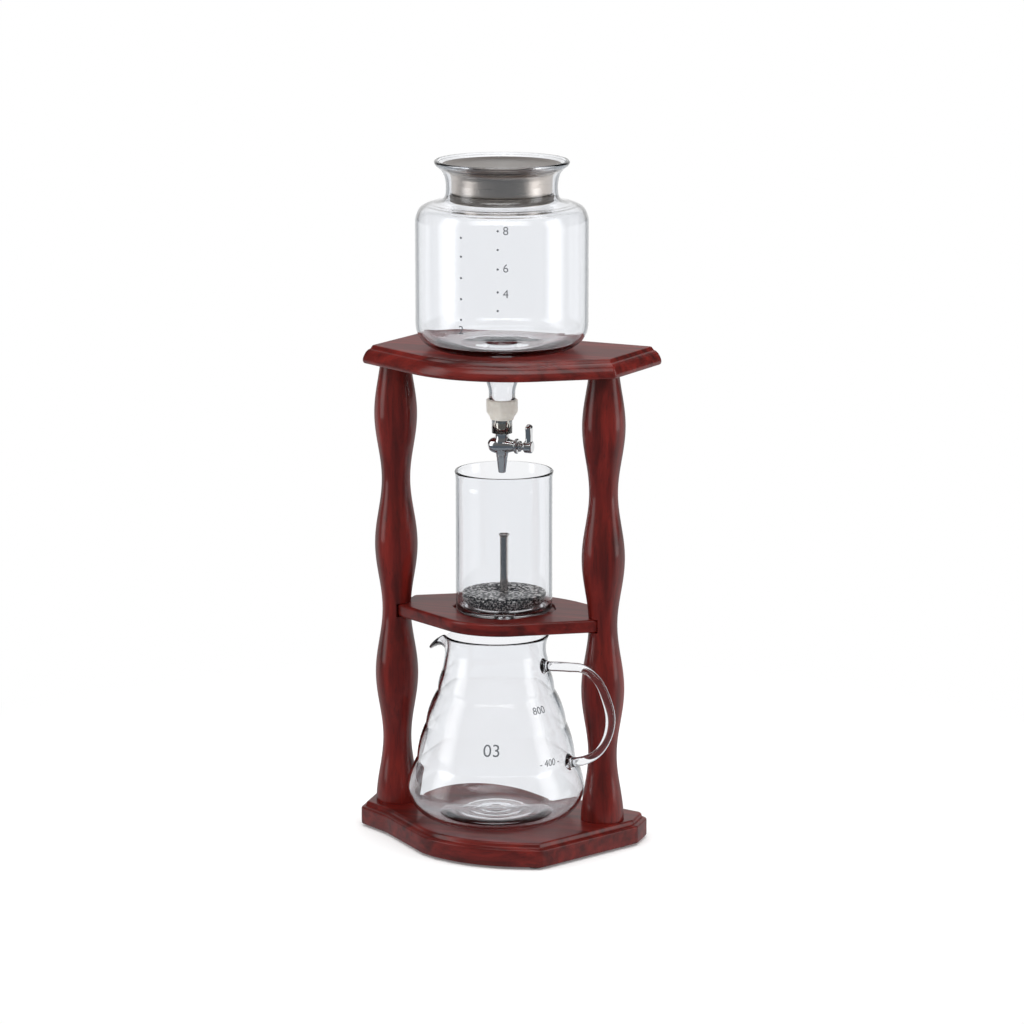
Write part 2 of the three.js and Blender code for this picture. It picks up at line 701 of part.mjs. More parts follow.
// Plug, nut and lever: the part of the tap that turns about its X axis
function makeLever(parent) {
  const plugEndX = leverEndX - leverThickness * 0.35;
  const plug = lathedAlongX([
    [0, plugLeftX], [plugRadius, plugLeftX], [plugRadius, plugEndX], [0, plugEndX],
  ], smallSides);
  const crossHole = rod(inletBore, -tapBodyRadius, tapBodyRadius, smallSides);
  add(parent, 'tap_plug', cut(plug, crossHole), chrome);
  const nut = hexNut(nutRadius, plugRadius + fitGap, tapBodyRight + fitGap, tapBodyRight + nutLength);
  add(parent, 'tap_nut', nut, chrome);
  const hubX = leverX - leverNeckLength + fitGap;
  const hub = lathedAlongX([
    [0, hubX], [leverNeckRadius, hubX], [leverNeckRadius, leverX - fitGap], [leverHubRadius, leverX],
    [leverHubRadius, leverEndX - leverThickness * 0.2], [leverHubRadius * 0.8, leverEndX], [0, leverEndX],
  ], 24);
  const armCorners = [
    { x: -leverTipRadius * 0.72, y: 0, radius: leverTipRadius * 0.3 },
    { x: leverTipRadius * 0.72, y: 0, radius: leverTipRadius * 0.3 },
    { x: leverTipRadius, y: leverRise, radius: leverTipRadius * 0.85 },
    { x: -leverTipRadius, y: leverRise, radius: leverTipRadius * 0.85 },
  ];
  const armFaces = [[0.18, 0.14], [0, 0.26], [0, 0.62], [0.18, 0.74]].map(([insetShare, thicknessShare]) => ({
    points: roundedOutline(armCorners, insetShare * leverTipRadius),
    z: thicknessShare * leverThickness,
  }));
  const arm = loft(armFaces).rotateX(Math.PI / 2).rotateZ(Math.PI / 2).translate(leverX, 0, 0);
  const seat = lathedAlongX([
    [0, hubX - cutOverrun], [plugRadius + fitGap, hubX - cutOverrun],
    [plugRadius + fitGap, plugEndX + fitGap], [0, plugEndX + fitGap],
  ], smallSides);
  add(parent, 'tap_lever', cut(join(hub, arm), seat), chrome);
}

// Brewer: a glass cylinder that stands in the shelf's recess and drips through its outlet
const brewerFootZ = brewerFloorZ + fitGap;
const brewerHeelCentreR = brewerRadius - brewerHeelRadius;

function makeBrewer(parent) {
  const bottomRise = brewerWall * 0.6;
  const outer = [
    [brewerOutletRadius, brewerFootZ - brewerOutletDrop],
    [brewerOutletRadius, brewerFootZ],
    [brewerOutletRadius + brewerWall, brewerFootZ + bottomRise],
    [brewerHeelCentreR - brewerWall, brewerFootZ + bottomRise],
    ...arc(brewerHeelCentreR, brewerFootZ + brewerHeelRadius, brewerHeelRadius, -90, 0, 3),
    [brewerRadius, brewerRimZ - brewerHeelRadius],
    [brewerRadius + brewerRimFlare, brewerRimZ - brewerWall],
    [brewerRadius + brewerRimFlare, brewerRimZ - brewerWall * 0.5],
  ];
  add(parent, 'brewer_glass', turned(glassProfile(outer, brewerWall), roundSides), clearGlass);
}

// Filter: a metal dish with a mesh lid and an upright tube
const filterFootZ = brewerFootZ + brewerWall * 1.6 + fitGap;
const meshZ = filterFootZ + filterHeight;
const brewerInnerHeight = brewerRimZ - brewerFootZ;
const filterTubeTopZ = meshZ + filterTubeShare * brewerInnerHeight;

function makeFilter(parent) {
  const dish = turned([
    [filterTubeRadius + fitGap, filterFootZ],
    [filterBaseRadius - filterWall, filterFootZ],
    [filterBaseRadius, filterFootZ + filterWall],
    [filterRadius - filterWall, meshZ - filterHeight * 0.3],
    [filterRadius, meshZ - filterHeight * 0.25],
    [filterRadius, meshZ],
    [filterRadius - filterWall, meshZ],
    [filterRadius - 2 * filterWall, meshZ - filterHeight * 0.2],
    [filterBaseRadius - filterWall, filterFootZ + 2 * filterWall],
    [filterTubeRadius + fitGap, filterFootZ + filterWall],
    [filterTubeRadius + fitGap, filterFootZ],
  ], roundSides);
  add(parent, 'filter_dish', dish, brushedSteel);
  const mesh = ring(filterTubeRadius + fitGap, filterRadius, meshZ + fitGap, meshZ + fitGap + meshThickness, roundSides);
  add(parent, 'filter_mesh', mesh, brushedSteel);
  const tube = turned([
    [filterTubeRadius - filterTubeWall, filterFootZ],
    [filterTubeRadius, filterFootZ],
    [filterTubeRadius, filterTubeTopZ - 3 * filterTubeFlange],
    [filterTubeRadius + filterTubeFlange, filterTubeTopZ - 2 * filterTubeFlange],
    [filterTubeRadius + filterTubeFlange, filterTubeTopZ - filterTubeFlange],
    [filterTubeRadius, filterTubeTopZ],
    [filterTubeRadius - filterTubeWall, filterTubeTopZ],
    [filterTubeRadius - filterTubeWall, filterFootZ],
  ], smallSides);
  add(parent, 'filter_tube', tube, brushedSteel);
}

// Carafe: a glass jug whose wall swells in four bands, with a drawn spout and a D-shaped handle
const carafeFootZ = baseTopZ + fitGap;
const carafeHeight = shelfBottomZ - carafeHeadroom - carafeFootZ;
const carafeHeelRadius = carafeRadius - carafeFootRadius;

// Band creases: share of the height, share of the greatest radius, share of swell above the crease
const carafeBandShares = [
  [0.32, 0.893, 0.009],
  [0.51, 0.793, 0.009],
  [0.689, 0.659, 0.014],
];
const carafeNeckShares = [
  [0.745, 0.638],
  [0.855, 0.582],
  [0.905, 0.563],
  [0.94, 0.566],
  [0.97, 0.586],
  [0.984, 0.597],
];

// Handle path between its welds: share of its reach from the upper weld, share of its drop
const handleWeldShares = [0.84, 0.336];
const handlePathShares = [
  [0.366, -0.017],
  [0.593, -0.014],
  [0.799, 0.09],
  [0.931, 0.275],
  [1, 0.49],
  [0.945, 0.712],
  [0.799, 0.881],
  [0.593, 0.971],
  [0.47, 0.995],
];

function carafeOuterProfile() {
  const rise = (share) => carafeFootZ + share * carafeHeight;
  const heelZ = carafeFootZ + carafeHeelRadius;
  const points = [
    [0, carafeFootZ + carafeWall * 0.6],
    [carafeFootRadius * 0.9, carafeFootZ + carafeWall * 0.6],
    ...arc(carafeFootRadius, heelZ, carafeHeelRadius, -90, 0, 5),
  ];
  let [lowZ, lowR] = [points[points.length - 1][1], points[points.length - 1][0]];
  carafeBandShares.forEach(([heightShare, radiusShare, swellShare]) => {
    const [topZ, topR] = [rise(heightShare), radiusShare * carafeRadius];
    [0.4, 0.75].forEach((t) => {
      const swell = swellShare * carafeRadius * Math.sin(Math.PI * t);
      points.push([lowR + (topR - lowR) * t + swell, lowZ + (topZ - lowZ) * t]);
    });
    points.push([topR, topZ]);
    [lowZ, lowR] = [topZ, topR];
  });
  carafeNeckShares.forEach(([heightShare, radiusShare]) => {
    points.push([radiusShare * carafeRadius, rise(heightShare)]);
  });
  return points;
}

// Outer profile with its rim drawn outward and down into a lip; pull is 0 away from the spout
function drawnProfile(outer, pull) {
  const rimZ = carafeFootZ + carafeHeight;
  return outer.map(([radius, z]) => {
    const lift = THREE.MathUtils.clamp((z - (rimZ - spoutDepth)) / spoutDepth, 0, 1);
    const bend = pull * lift * lift;
    return [radius + spoutReach * bend, z - spoutDip * bend * lift];
  });
}

// Closed solid round the Z axis whose profile changes with the angle
function turnedByAngle(profileAt, sides) {
  const profiles = Array.from({ length: sides }, (_, i) => profileAt((2 * Math.PI * i) / sides));
  const count = profiles[0].length;
  const positions = profiles.flatMap((profile, i) => {
    const angle = (2 * Math.PI * i) / sides;
    return profile.flatMap(([radius, z]) => [radius * Math.cos(angle), radius * Math.sin(angle), z]);
  });
  const index = [];
  for (let i = 0; i < sides; i += 1) {
    const next = (i + 1) % sides;
    for (let k = 0; k < count - 1; k += 1) {
      const [a, b, c, d] = [i * count + k, next * count + k, next * count + k + 1, i * count + k + 1];
      index.push(a, b, c, a, c, d);
    }
  }
  const geometry = new THREE.BufferGeometry();
  geometry.setAttribute('position', new THREE.Float32BufferAttribute(positions, 3));
  geometry.setIndex(index);
  return geometry;
}

function makeJug(outer) {
  const insideFloor = [0, carafeFootZ + carafeWall * 2.2];
  const profileAt = (angle) => {
    const off = Math.abs(angle - Math.PI);
    const pull = off < spoutHalfAngle ? Math.cos((off / spoutHalfAngle) * (Math.PI / 2)) ** 2 : 0;
    const walls = glassProfile(drawnProfile(outer.slice(1), pull), carafeWall).slice(0, -1);
    return [outer[0], ...walls, insideFloor];
  };
  return turnedByAngle(profileAt, roundSides);
}

function makeHandle(outer) {
  const weldZ = handleWeldShares.map((share) => carafeFootZ + share * carafeHeight);
  const weldR = weldZ.map((z) => crossings(outer, z).at(-1));
  const span = handleReach - weldR[0];
  const drop = weldZ[0] - weldZ[1];
  const path = new THREE.CatmullRomCurve3([
    [weldR[0] - handleSink, weldZ[0]],
    ...handlePathShares.map(([reachShare, dropShare]) =>
      [weldR[0] + span * reachShare, weldZ[0] - drop * dropShare]),
    [weldR[1] - handleSink, weldZ[1]],
  ].map(([x, z]) => new THREE.Vector3(x, 0, z)), false, 'centripetal');
  const section = new THREE.Shape().absarc(0, 0, handleRodRadius, 0, 2 * Math.PI, false);
  const grip = new THREE.ExtrudeGeometry(section, {
    steps: 24, curveSegments: 6, bevelEnabled: false, extrudePath: path,
  });
  const welds = weldZ.map((z, i) =>
    new THREE.SphereGeometry(handleWeldRadius, 12, 8).scale(0.5, 1, 1)
      .translate(weldR[i] + handleWeldRadius * 0.5 - handleSink, 0, z));
  return [grip, ...welds];
}

function makeCarafe(parent) {
  const outer = carafeOuterProfile();
  const mesh = add(parent, 'carafe_glass', join(makeJug(outer), ...makeHandle(outer)), clearGlass);
  mesh.rotation.z = carafeTurn;
}

makeBase();
makeFeet();
makePost('post_left', -postX);
makePost('post_right', postX);
makeBolt('post_bolt_left', -postX);
makeBolt('post_bolt_right', postX);
makeShelf();
makeTopBoard();

const glassLine = new THREE.Group();
glassLine.position.y = glassLineY;
tower.add(glassLine);
makeTank(glassLine);
makeLid(glassLine);
makeCollar(glassLine);
makeInlet(glassLine);
makeTapBody(glassLine);
makeNozzle(glassLine);
const tapAxis = new THREE.Group();
tapAxis.position.z = tapAxisZ;
glassLine.add(tapAxis);
makeLever(tapAxis);

const brewerLine = new THREE.Group();
brewerLine.position.set(shelfShiftX, glassLineY, 0);
tower.add(brewerLine);
makeBrewer(brewerLine);
makeFilter(brewerLine);

const carafePlace = new THREE.Group();
carafePlace.position.set(carafeShiftX, carafeShiftY, 0);
tower.add(carafePlace);
makeCarafe(carafePlace);

// The origin lies under the middle of the tower's box
tower.updateMatrixWorld(true);
const bounds = new THREE.Box3().setFromObject(tower, true);
const middle = bounds.getCenter(new THREE.Vector3());
tower.position.set(-middle.x, -middle.y, -bounds.min.z);

export default tower;
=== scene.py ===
# %% [markdown]
# # A cold drip coffee tower
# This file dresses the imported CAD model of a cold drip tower: a lacquered wooden stand, a glass water
# tank with a drip tap, a glass brewer with a metal filter and a glass carafe. The CAD model is the
# fixed frame. Each cell makes one piece or one finish, says what the real one is, and lets the piece
# ride on the CAD body that it belongs to.

# %% Open the frame
import bpy
import mathutils
import numpy as np
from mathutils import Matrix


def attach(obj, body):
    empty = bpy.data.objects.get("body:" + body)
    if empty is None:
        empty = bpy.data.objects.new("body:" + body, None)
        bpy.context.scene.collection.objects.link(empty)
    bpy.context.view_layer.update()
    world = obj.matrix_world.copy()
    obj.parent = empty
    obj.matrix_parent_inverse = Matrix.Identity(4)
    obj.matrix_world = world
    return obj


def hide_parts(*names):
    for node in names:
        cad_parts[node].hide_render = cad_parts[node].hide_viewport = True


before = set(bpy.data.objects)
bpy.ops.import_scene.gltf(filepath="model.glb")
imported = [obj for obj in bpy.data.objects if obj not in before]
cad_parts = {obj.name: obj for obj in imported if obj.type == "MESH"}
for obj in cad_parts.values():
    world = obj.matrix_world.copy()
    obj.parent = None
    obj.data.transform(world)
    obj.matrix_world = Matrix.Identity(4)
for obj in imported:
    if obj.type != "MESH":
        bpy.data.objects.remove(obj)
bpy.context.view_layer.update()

# %% [markdown]
# ## Units and places
# The tower was drawn in millimetres about the middle between its two posts. The frame is in metres and
# its origin lies under the middle of the CAD box, so every point goes through one small shift. Keeping
# millimetres in the cells makes them easy to compare with a drawing.

# %% Millimetres to the frame
MM = 0.001
FRAME_SHIFT = np.array([-0.0391, 11.2853, 0.0])
POST_X = 84.5
BASE_TOP = 20.0
BOARD_LOW, BOARD_TOP = 366.6, 380.9
SHELF_LOW, SHELF_TOP = 168.3, 178.3
TANK_AT = (0.0, 7.0)
BREWER_AT = (1.6, 7.0)
CARAFE_AT = (4.2, -18.0)
SEAT_GAP = 0.3
TURN = 2 * np.pi


def in_frame(points):
    """Drawing millimetres to metres in the frame: add the shift, then times a thousandth."""
    return (np.asarray(points, float) + FRAME_SHIFT) * MM


print("the tank, the brewer and the carafe stand at", TANK_AT, BREWER_AT, CARAFE_AT)

# %% [markdown]
# ## From rows of points to a mesh
# Nearly every piece here is a grid: rows of points that close round the piece, one row after another.
# Faces between neighbouring rows come from the row and column numbers alone, so the whole mesh is made
# with array arithmetic. A row that shrinks to one point is a pole and gets a single vertex, which keeps
# the skin closed. A piece may hold several such skins that run into each other, as parts that are
# brazed or polished together do.

# %% Grid to mesh
def grid_faces(rows, columns, wrap_rows):
    """Quads between row i and i+1, column j and j+1, counted anticlockwise seen from outside."""
    i = np.arange(rows if wrap_rows else rows - 1)[:, None]
    j = np.arange(columns)[None, :]
    nxt_i, nxt_j = (i + 1) % rows, (j + 1) % columns
    quads = np.stack(np.broadcast_arrays(i * columns + j, i * columns + nxt_j,
                                         nxt_i * columns + nxt_j, nxt_i * columns + j), -1)
    return quads.reshape(-1, 4)


def mesh_object(name, points, polygons, smooth=True):
    """Object in the scene whose mesh has those points, in metres, and those polygons."""
    mesh = bpy.data.meshes.new(name)
    mesh.from_pydata(points.tolist(), [], polygons)
    mesh.update()
    mesh.shade_smooth() if smooth else mesh.shade_flat()
    made = bpy.data.objects.new(name, mesh)
    bpy.context.collection.objects.link(made)
    return made


def skin(name, *forms, closed=False):
    """Object whose skin joins the rows of points (row, column, xyz in mm) of every form. A pole is
    one vertex; closed also joins the last row to the first."""
    points, polygons, start = [], [], 0
    for rows in forms:
        count, columns = rows.shape[:2]
        owner = np.arange(count * columns).reshape(count, columns)
        poles = np.ptp(rows, axis=1).max(axis=-1) < 1e-6
        owner[poles] = owner[poles, :1]
        kept, faces = np.unique(owner.ravel()[grid_faces(count, columns, closed)], return_inverse=True)
        faces = faces.reshape(-1, 4) + start
        top, low = faces[:, 0] == faces[:, 1], faces[:, 2] == faces[:, 3]
        polygons += (faces[~(top | low)].tolist() + faces[top & ~low][:, [0, 2, 3]].tolist()
                     + faces[low & ~top][:, [0, 1, 2]].tolist())
        points.append(in_frame(rows.reshape(-1, 3)[kept]))
        start += len(kept)
    return mesh_object(name, np.concatenate(points), polygons)


def dress(piece, material, body, node):
    """Gives a piece its finish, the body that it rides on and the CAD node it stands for."""
    piece.data.materials.append(material)
    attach(piece, body)
    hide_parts(node)
    print(piece.name, "has", len(piece.data.vertices), "points")


print("a 3 by 8 grid has", len(grid_faces(3, 8, False)), "faces")

# %% [markdown]
# ## Curves and turned forms
# Glassware and turned wood are drawn as a half section that goes once round an axis. A few measured
# points are enough for the section when a smooth curve runs through them. The curve here is a Hermite
# spline whose tangents allow for uneven spacing, so tight bends beside long straights don't bulge.

# %% Section helpers
def curve_through(points, steps=8):
    """Smooth curve through the points: in each span p + t-cubic blend of both ends and both tangents."""
    p = np.asarray(points, float)
    span = np.diff(p, axis=0)
    length = np.maximum(np.linalg.norm(span, axis=1, keepdims=True), 1e-9)
    slope = span / length
    inner = (slope[:-1] * length[1:] + slope[1:] * length[:-1]) / (length[:-1] + length[1:])
    tangent = np.concatenate([slope[:1], inner, slope[-1:]])
    t = (np.arange(steps) / steps)[None, :, None]
    a, b = p[:-1, None], p[1:, None]
    ta, tb = (tangent[:-1] * length)[:, None], (tangent[1:] * length)[:, None]
    body = ((2 * t**3 - 3 * t**2 + 1) * a + (t**3 - 2 * t**2 + t) * ta
            + (3 * t**2 - 2 * t**3) * b + (t**3 - t**2) * tb)
    return np.concatenate([body.reshape(-1, p.shape[1]), p[-1:]])


def eased(points, radius, steps=4):
    """Polyline with rounded inner corners: a quadratic bend between the points at radius from each."""
    p = np.asarray(points, float)
    back, on = p[:-2] - p[1:-1], p[2:] - p[1:-1]
    lb, lo = np.linalg.norm(back, axis=1), np.linalg.norm(on, axis=1)
    reach = np.minimum(radius, 0.45 * np.minimum(lb, lo))[:, None]
    start, end = p[1:-1] + back / lb[:, None] * reach, p[1:-1] + on / lo[:, None] * reach
    t = np.linspace(0, 1, steps + 1)[None, :, None]
    bend = (1 - t)**2 * start[:, None] + 2 * t * (1 - t) * p[1:-1, None] + t**2 * end[:, None]
    return np.concatenate([p[:1], bend.reshape(-1, p.shape[1]), p[-1:]])


def arc(centre_r, centre_z, radius, first, last, steps=10):
    """Points of a circle's arc in the section, angles in degrees from the outward direction."""
    angle = np.radians(np.linspace(first, last, steps + 1))
    return np.stack([centre_r + radius * np.cos(angle), centre_z + radius * np.sin(angle)], -1)


def turned(section, sides=96, at=(0.0, 0.0)):
    """Rows of a form turned about the Z axis through at: x = r cos a, y = r sin a, z = height. The
    section is one list of (r, height), or has such a list for every angle."""
    section = np.asarray(section, float)
    if section.ndim == 2:
        section = np.repeat(section[:, None], sides, 1)
    r, z = section[..., 0], section[..., 1]
    a = np.linspace(0, TURN, section.shape[1], endpoint=False)
    return np.stack([at[0] + r * np.cos(a), at[1] + r * np.sin(a), z], -1)


def glass_wall(outer, wall, rim_steps=6):
    """Section of a blown wall: the outer curve, a half round rim, then the curve set in by the wall
    along its own normal. Works on one section or on one for every angle."""
    spread = (-1,) + (1,) * (outer.ndim - 1)
    along = np.gradient(outer, axis=0)
    along /= np.linalg.norm(along, axis=-1, keepdims=True)
    inward = np.stack([-along[..., 1], along[..., 0]], -1)
    inner = outer + inward * np.broadcast_to(wall, len(outer)).reshape(spread)
    inner[..., 0] = np.where(outer[..., 0] < 1e-6, 0.0, inner[..., 0])
    middle, half = (outer[-1] + inner[-1]) / 2, (outer[-1] - inner[-1]) / 2
    t = np.linspace(0, np.pi, rim_steps + 1)[1:-1].reshape(spread)
    ahead = np.stack([-half[..., 1], half[..., 0]], -1)
    return np.concatenate([outer, middle + half * np.cos(t) + ahead * np.sin(t), inner[::-1]])


print("an eased corner has", len(eased([(0, 0), (5, 0), (5, 5)], 1)), "points")

# %% [markdown]
# ## Colours and nodes
# Colours are written as the sRGB hex values that a paint program shows, and one function turns them to
# the linear values that the renderer works in. Materials are small node trees, so one helper adds a
# node, sets its settings and inputs, and links whatever input is given as another node's output.

# %% Colour and node helpers
def linear(code):
    """sRGB hex to linear: c / 12.92 up to 0.04045, above it ((c + 0.055) / 1.055) to the 2.4."""
    c = np.array([int(code[k:k + 2], 16) for k in (1, 3, 5)]) / 255
    return (*np.where(c <= 0.04045, c / 12.92, ((c + 0.055) / 1.055)**2.4).tolist(), 1.0)


def add(tree, kind, inputs=None, **settings):
    """Adds a shader node; inputs are values or another node's output, by the input's name or number."""
    made = tree.nodes.new("ShaderNode" + kind)
    for key, value in settings.items():
        setattr(made, key, value)
    fill(tree, made, inputs or {})
    return made


def fill(tree, node, inputs):
    """Sets a node's inputs to values, or links them to other nodes' outputs."""
    for key, value in inputs.items():
        if isinstance(value, bpy.types.NodeSocket):
            tree.links.new(value, node.inputs[key])
        else:
            node.inputs[key].default_value = value


def finish_of(name, **values):
    """A material and its main shader with those input values; underscores in names stand for spaces."""
    material = bpy.data.materials.new(name)
    material.use_nodes = True
    tree = material.node_tree
    shader = tree.nodes["Principled BSDF"]
    fill(tree, shader, {key.replace("_", " "): value for key, value in values.items()})
    return material, tree, shader


def stretched(tree, scale):
    """Object coordinates, in millimetres, scaled per axis: a small scale draws a pattern out along it."""
    place = add(tree, "TexCoord").outputs["Object"]
    return add(tree, "Mapping", {"Vector": place, "Scale": [s / MM for s in scale]}).outputs["Vector"]


def ramp(tree, factor, stops):
    """Colour ramp over factor with rising stops (place, sRGB hex)."""
    made = add(tree, "ValToRGB", {"Fac": factor})
    elements = made.color_ramp.elements
    for place, code in stops[1:-1]:
        elements.new(place)
    for element, (place, code) in zip(elements, stops):
        element.position, element.color = place, linear(code)
    return made.outputs["Color"]


print("mid grey in linear:", round(linear("#808080")[0], 3))

# %% [markdown]
# ## Lacquered mahogany
# The stand is mahogany, stained red-brown and sprayed with a clear lacquer. The eye sees three things:
# slow darker and lighter streaks along the grain, short dark pores a few tenths of a millimetre wide,
# and over them a smooth clear coat with soft highlights. Streaks and pores are noise drawn out along
# the grain, 12 to 1 and 22 to 1, and the pores are drawn about 1 mm wide, coarse enough to show. The
# coat is the shader's own coat layer, IOR 1.5, a little hazy. Its weight fades towards glancing angles,
# which paints shade on the edges of polished wood: it keeps the white room's glare off them, as a
# studio's black flags would.

# %% Mahogany
def mahogany(name, grain):
    """Lacquered mahogany whose grain runs along the axis numbered grain (0 is X, 2 is Z)."""
    material, tree, shader = finish_of(name, Roughness=0.45, IOR=1.5, Specular_IOR_Level=0.12,
                                       Coat_Roughness=0.11, Coat_IOR=1.5)

    def along(across, length):
        return stretched(tree, [length if axis == grain else across for axis in range(3)])
    streaks = add(tree, "TexNoise", {"Vector": along(0.12, 0.010), "Scale": 1.0, "Detail": 5.0,
                                     "Roughness": 0.55, "Distortion": 0.35}).outputs["Fac"]
    pores = add(tree, "TexNoise", {"Vector": along(1.1, 0.05), "Scale": 1.0, "Detail": 2.0}).outputs["Fac"]
    wood = ramp(tree, streaks, [(0.30, "#3B0A07"), (0.50, "#58120D"), (0.70, "#701B14")])
    dark = add(tree, "MapRange", {"Value": pores, "From Min": 0.56, "From Max": 0.70, "To Max": 0.4})
    mixed = add(tree, "Mix", {0: dark.outputs["Result"], 6: wood, 7: linear("#2C0E0D")}, data_type="RGBA")
    bump = add(tree, "Bump", {"Height": pores, "Strength": 0.12, "Distance": 0.00012}, invert=True)
    # Painted shade: the coat's weight falls at glancing angles, so the wood's edges lose the room's glare.
    facing = add(tree, "LayerWeight", {"Blend": 0.5}).outputs["Facing"]
    coat = add(tree, "MapRange", {"Value": facing, "From Min": 0.4, "From Max": 0.85, "To Min": 0.6,
                                  "To Max": 0.03})
    fill(tree, shader, {"Base Color": mixed.outputs[2], "Normal": bump.outputs["Normal"],
                        "Coat Weight": coat.outputs["Result"]})
    return material


board_wood = mahogany("lacquered_mahogany_boards", 0)
post_wood = mahogany("lacquered_mahogany_posts", 2)
print("made", board_wood.name, "and", post_wood.name)

# %% [markdown]
# ## Borosilicate glass
# Tank, brewer and carafe are clear borosilicate glass, IOR 1.47, polished by the flame. Its look comes
# from refraction in real walls, so the vessels below have true thickness. Light has to reach the metal
# inside them, and a shadow ray can't bend, so for shadow rays alone the glass is a clear filter.

# %% Glass and clear plastic
SHADOW_SHARE = 0.04


def clear(name, tint, ior, roughness=0.0):
    """A refracting solid of that tint and IOR; shadow rays pass straight, less SHADOW_SHARE."""
    material, tree, shader = finish_of(name, Base_Color=linear(tint), Roughness=roughness, IOR=ior,
                                       Transmission_Weight=1.0)
    shadow = add(tree, "LightPath").outputs["Is Shadow Ray"]
    filtering = add(tree, "BsdfTransparent", {"Color": [1 - SHADOW_SHARE] * 3 + [1]})
    both = add(tree, "MixShader", {0: shadow, 1: shader.outputs["BSDF"], 2: filtering.outputs["BSDF"]})
    fill(tree, tree.nodes["Material Output"], {"Surface": both.outputs["Shader"]})
    return material


glass = clear("borosilicate_glass", "#FAFBFD", 1.474)
clear_tube = clear("clear_polycarbonate", "#F3F1EC", 1.585, 0.03)
print("made", glass.name, "and", clear_tube.name)

# %% [markdown]
# ## Metals, soft parts and print
# The lid and the filter's tube are stainless steel, brushed while turning, so their fine lines run
# round the axis and the highlights spread across them. The tap is chromed brass and mirrors its
# surroundings. The filter is sintered steel grain, drawn 1 to 2 mm coarse so that the grain shows. The
# collar is ivory silicone, which lets a little light in; the lid's seal and the feet are dark and soft.

# %% Brushed steel
LINES_PER_M, LINES_PER_RADIAN = 2600.0, 1.6


def brushed_steel(name, tint, roughness, across=False):
    """Steel with lines round the tank's axis: noise stretched thin in height or, across, in radius."""
    material, tree, shader = finish_of(name, Metallic=1.0, Base_Color=linear(tint), Anisotropic=0.4)
    place = add(tree, "TexCoord").outputs["Object"]
    centred = add(tree, "VectorMath", {0: place, 1: in_frame([*TANK_AT, 0]).tolist()},
                  operation="SUBTRACT")
    parts = add(tree, "SeparateXYZ", {"Vector": centred.outputs["Vector"]}).outputs
    x2 = add(tree, "Math", {0: parts["X"], 1: parts["X"]}, operation="MULTIPLY").outputs["Value"]
    y2 = add(tree, "Math", {0: parts["Y"], 1: parts["Y"], 2: x2}, operation="MULTIPLY_ADD").outputs["Value"]
    radius = add(tree, "Math", {0: y2, 1: 0.5}, operation="POWER").outputs["Value"]
    angle = add(tree, "Math", {0: parts["Y"], 1: parts["X"]}, operation="ARCTAN2").outputs["Value"]
    line = add(tree, "CombineXYZ", {"X": radius if across else parts["Z"], "Y": angle}).outputs["Vector"]
    scaled = add(tree, "VectorMath", {0: line, 1: (LINES_PER_M, LINES_PER_RADIAN, 1.0)},
                 operation="MULTIPLY").outputs["Vector"]
    lines = add(tree, "TexNoise", {"Vector": scaled, "Scale": 1.0, "Detail": 3.0}).outputs["Fac"]
    rough = add(tree, "MapRange", {"Value": lines, "From Min": 0.3, "From Max": 0.7,
                                   "To Min": roughness - 0.07, "To Max": roughness + 0.07})
    bump = add(tree, "Bump", {"Height": lines, "Strength": 0.25, "Distance": 0.00004})
    fill(tree, shader, {"Roughness": rough.outputs["Result"], "Normal": bump.outputs["Normal"]})
    return material


# Painted shade: the lid's top and skirt are one steel, but the top gets a much darker tint, so that it
# shows dimmer.
shaded_lid_top_steel = brushed_steel("brushed_stainless_steel_top_painted_shade", "#7B746F", 0.36, across=True)
lid_side_steel = brushed_steel("brushed_stainless_steel_skirt", "#CFC6BD", 0.33)
tube_steel = brushed_steel("drawn_stainless_tube", "#D2CECA", 0.2)
print("made three brushed steels")

# %% Chrome
chrome, tree, shader = finish_of("chromed_brass", Metallic=1.0, Base_Color=linear("#D9DADB"))
cloud = add(tree, "TexNoise", {"Vector": stretched(tree, (0.5, 0.5, 0.5)), "Scale": 1.0, "Detail": 3.0})
veil = add(tree, "MapRange", {"Value": cloud.outputs["Fac"], "To Min": 0.03, "To Max": 0.10})
fill(tree, shader, {"Roughness": veil.outputs["Result"]})
print("made", chrome.name)

# %% Filter steel, silicone, rubber and print
GRAIN_COLOURS = [(0.42, "#1C1B1B"), (0.50, "#4A4846"), (0.64, "#E6E4E2")]


def sintered(name, fine):
    """Steel of melted grains: dark and bright specks in noise, fine per mm, and a bump of round grains."""
    material, tree, shader = finish_of(name, Metallic=0.85, Roughness=0.42)
    grains = add(tree, "TexVoronoi", {"Vector": stretched(tree, (1.4 * fine,) * 3), "Scale": 1.0})
    speck = add(tree, "TexNoise", {"Vector": stretched(tree, (fine,) * 3), "Scale": 1.0, "Detail": 1.0})
    bump = add(tree, "Bump", {"Height": grains.outputs["Distance"], "Strength": 0.9, "Distance": 0.0006},
               invert=True)
    fill(tree, shader, {"Base Color": ramp(tree, speck.outputs["Fac"], GRAIN_COLOURS),
                        "Normal": bump.outputs["Normal"]})
    return material


def moulded(name, low, high, roughness, fine, **values):
    """A moulded soft material: two close colours in cloudy noise and a faint skin bump, fine per mm."""
    material, tree, shader = finish_of(name, Roughness=roughness, **values)
    cloud = add(tree, "TexNoise", {"Vector": stretched(tree, (fine,) * 3), "Scale": 1.0,
                                   "Detail": 4.0}).outputs["Fac"]
    bump = add(tree, "Bump", {"Height": cloud, "Strength": 0.1, "Distance": 0.0001})
    fill(tree, shader, {"Base Color": ramp(tree, cloud, [(0.3, low), (0.7, high)]),
                        "Normal": bump.outputs["Normal"]})
    return material


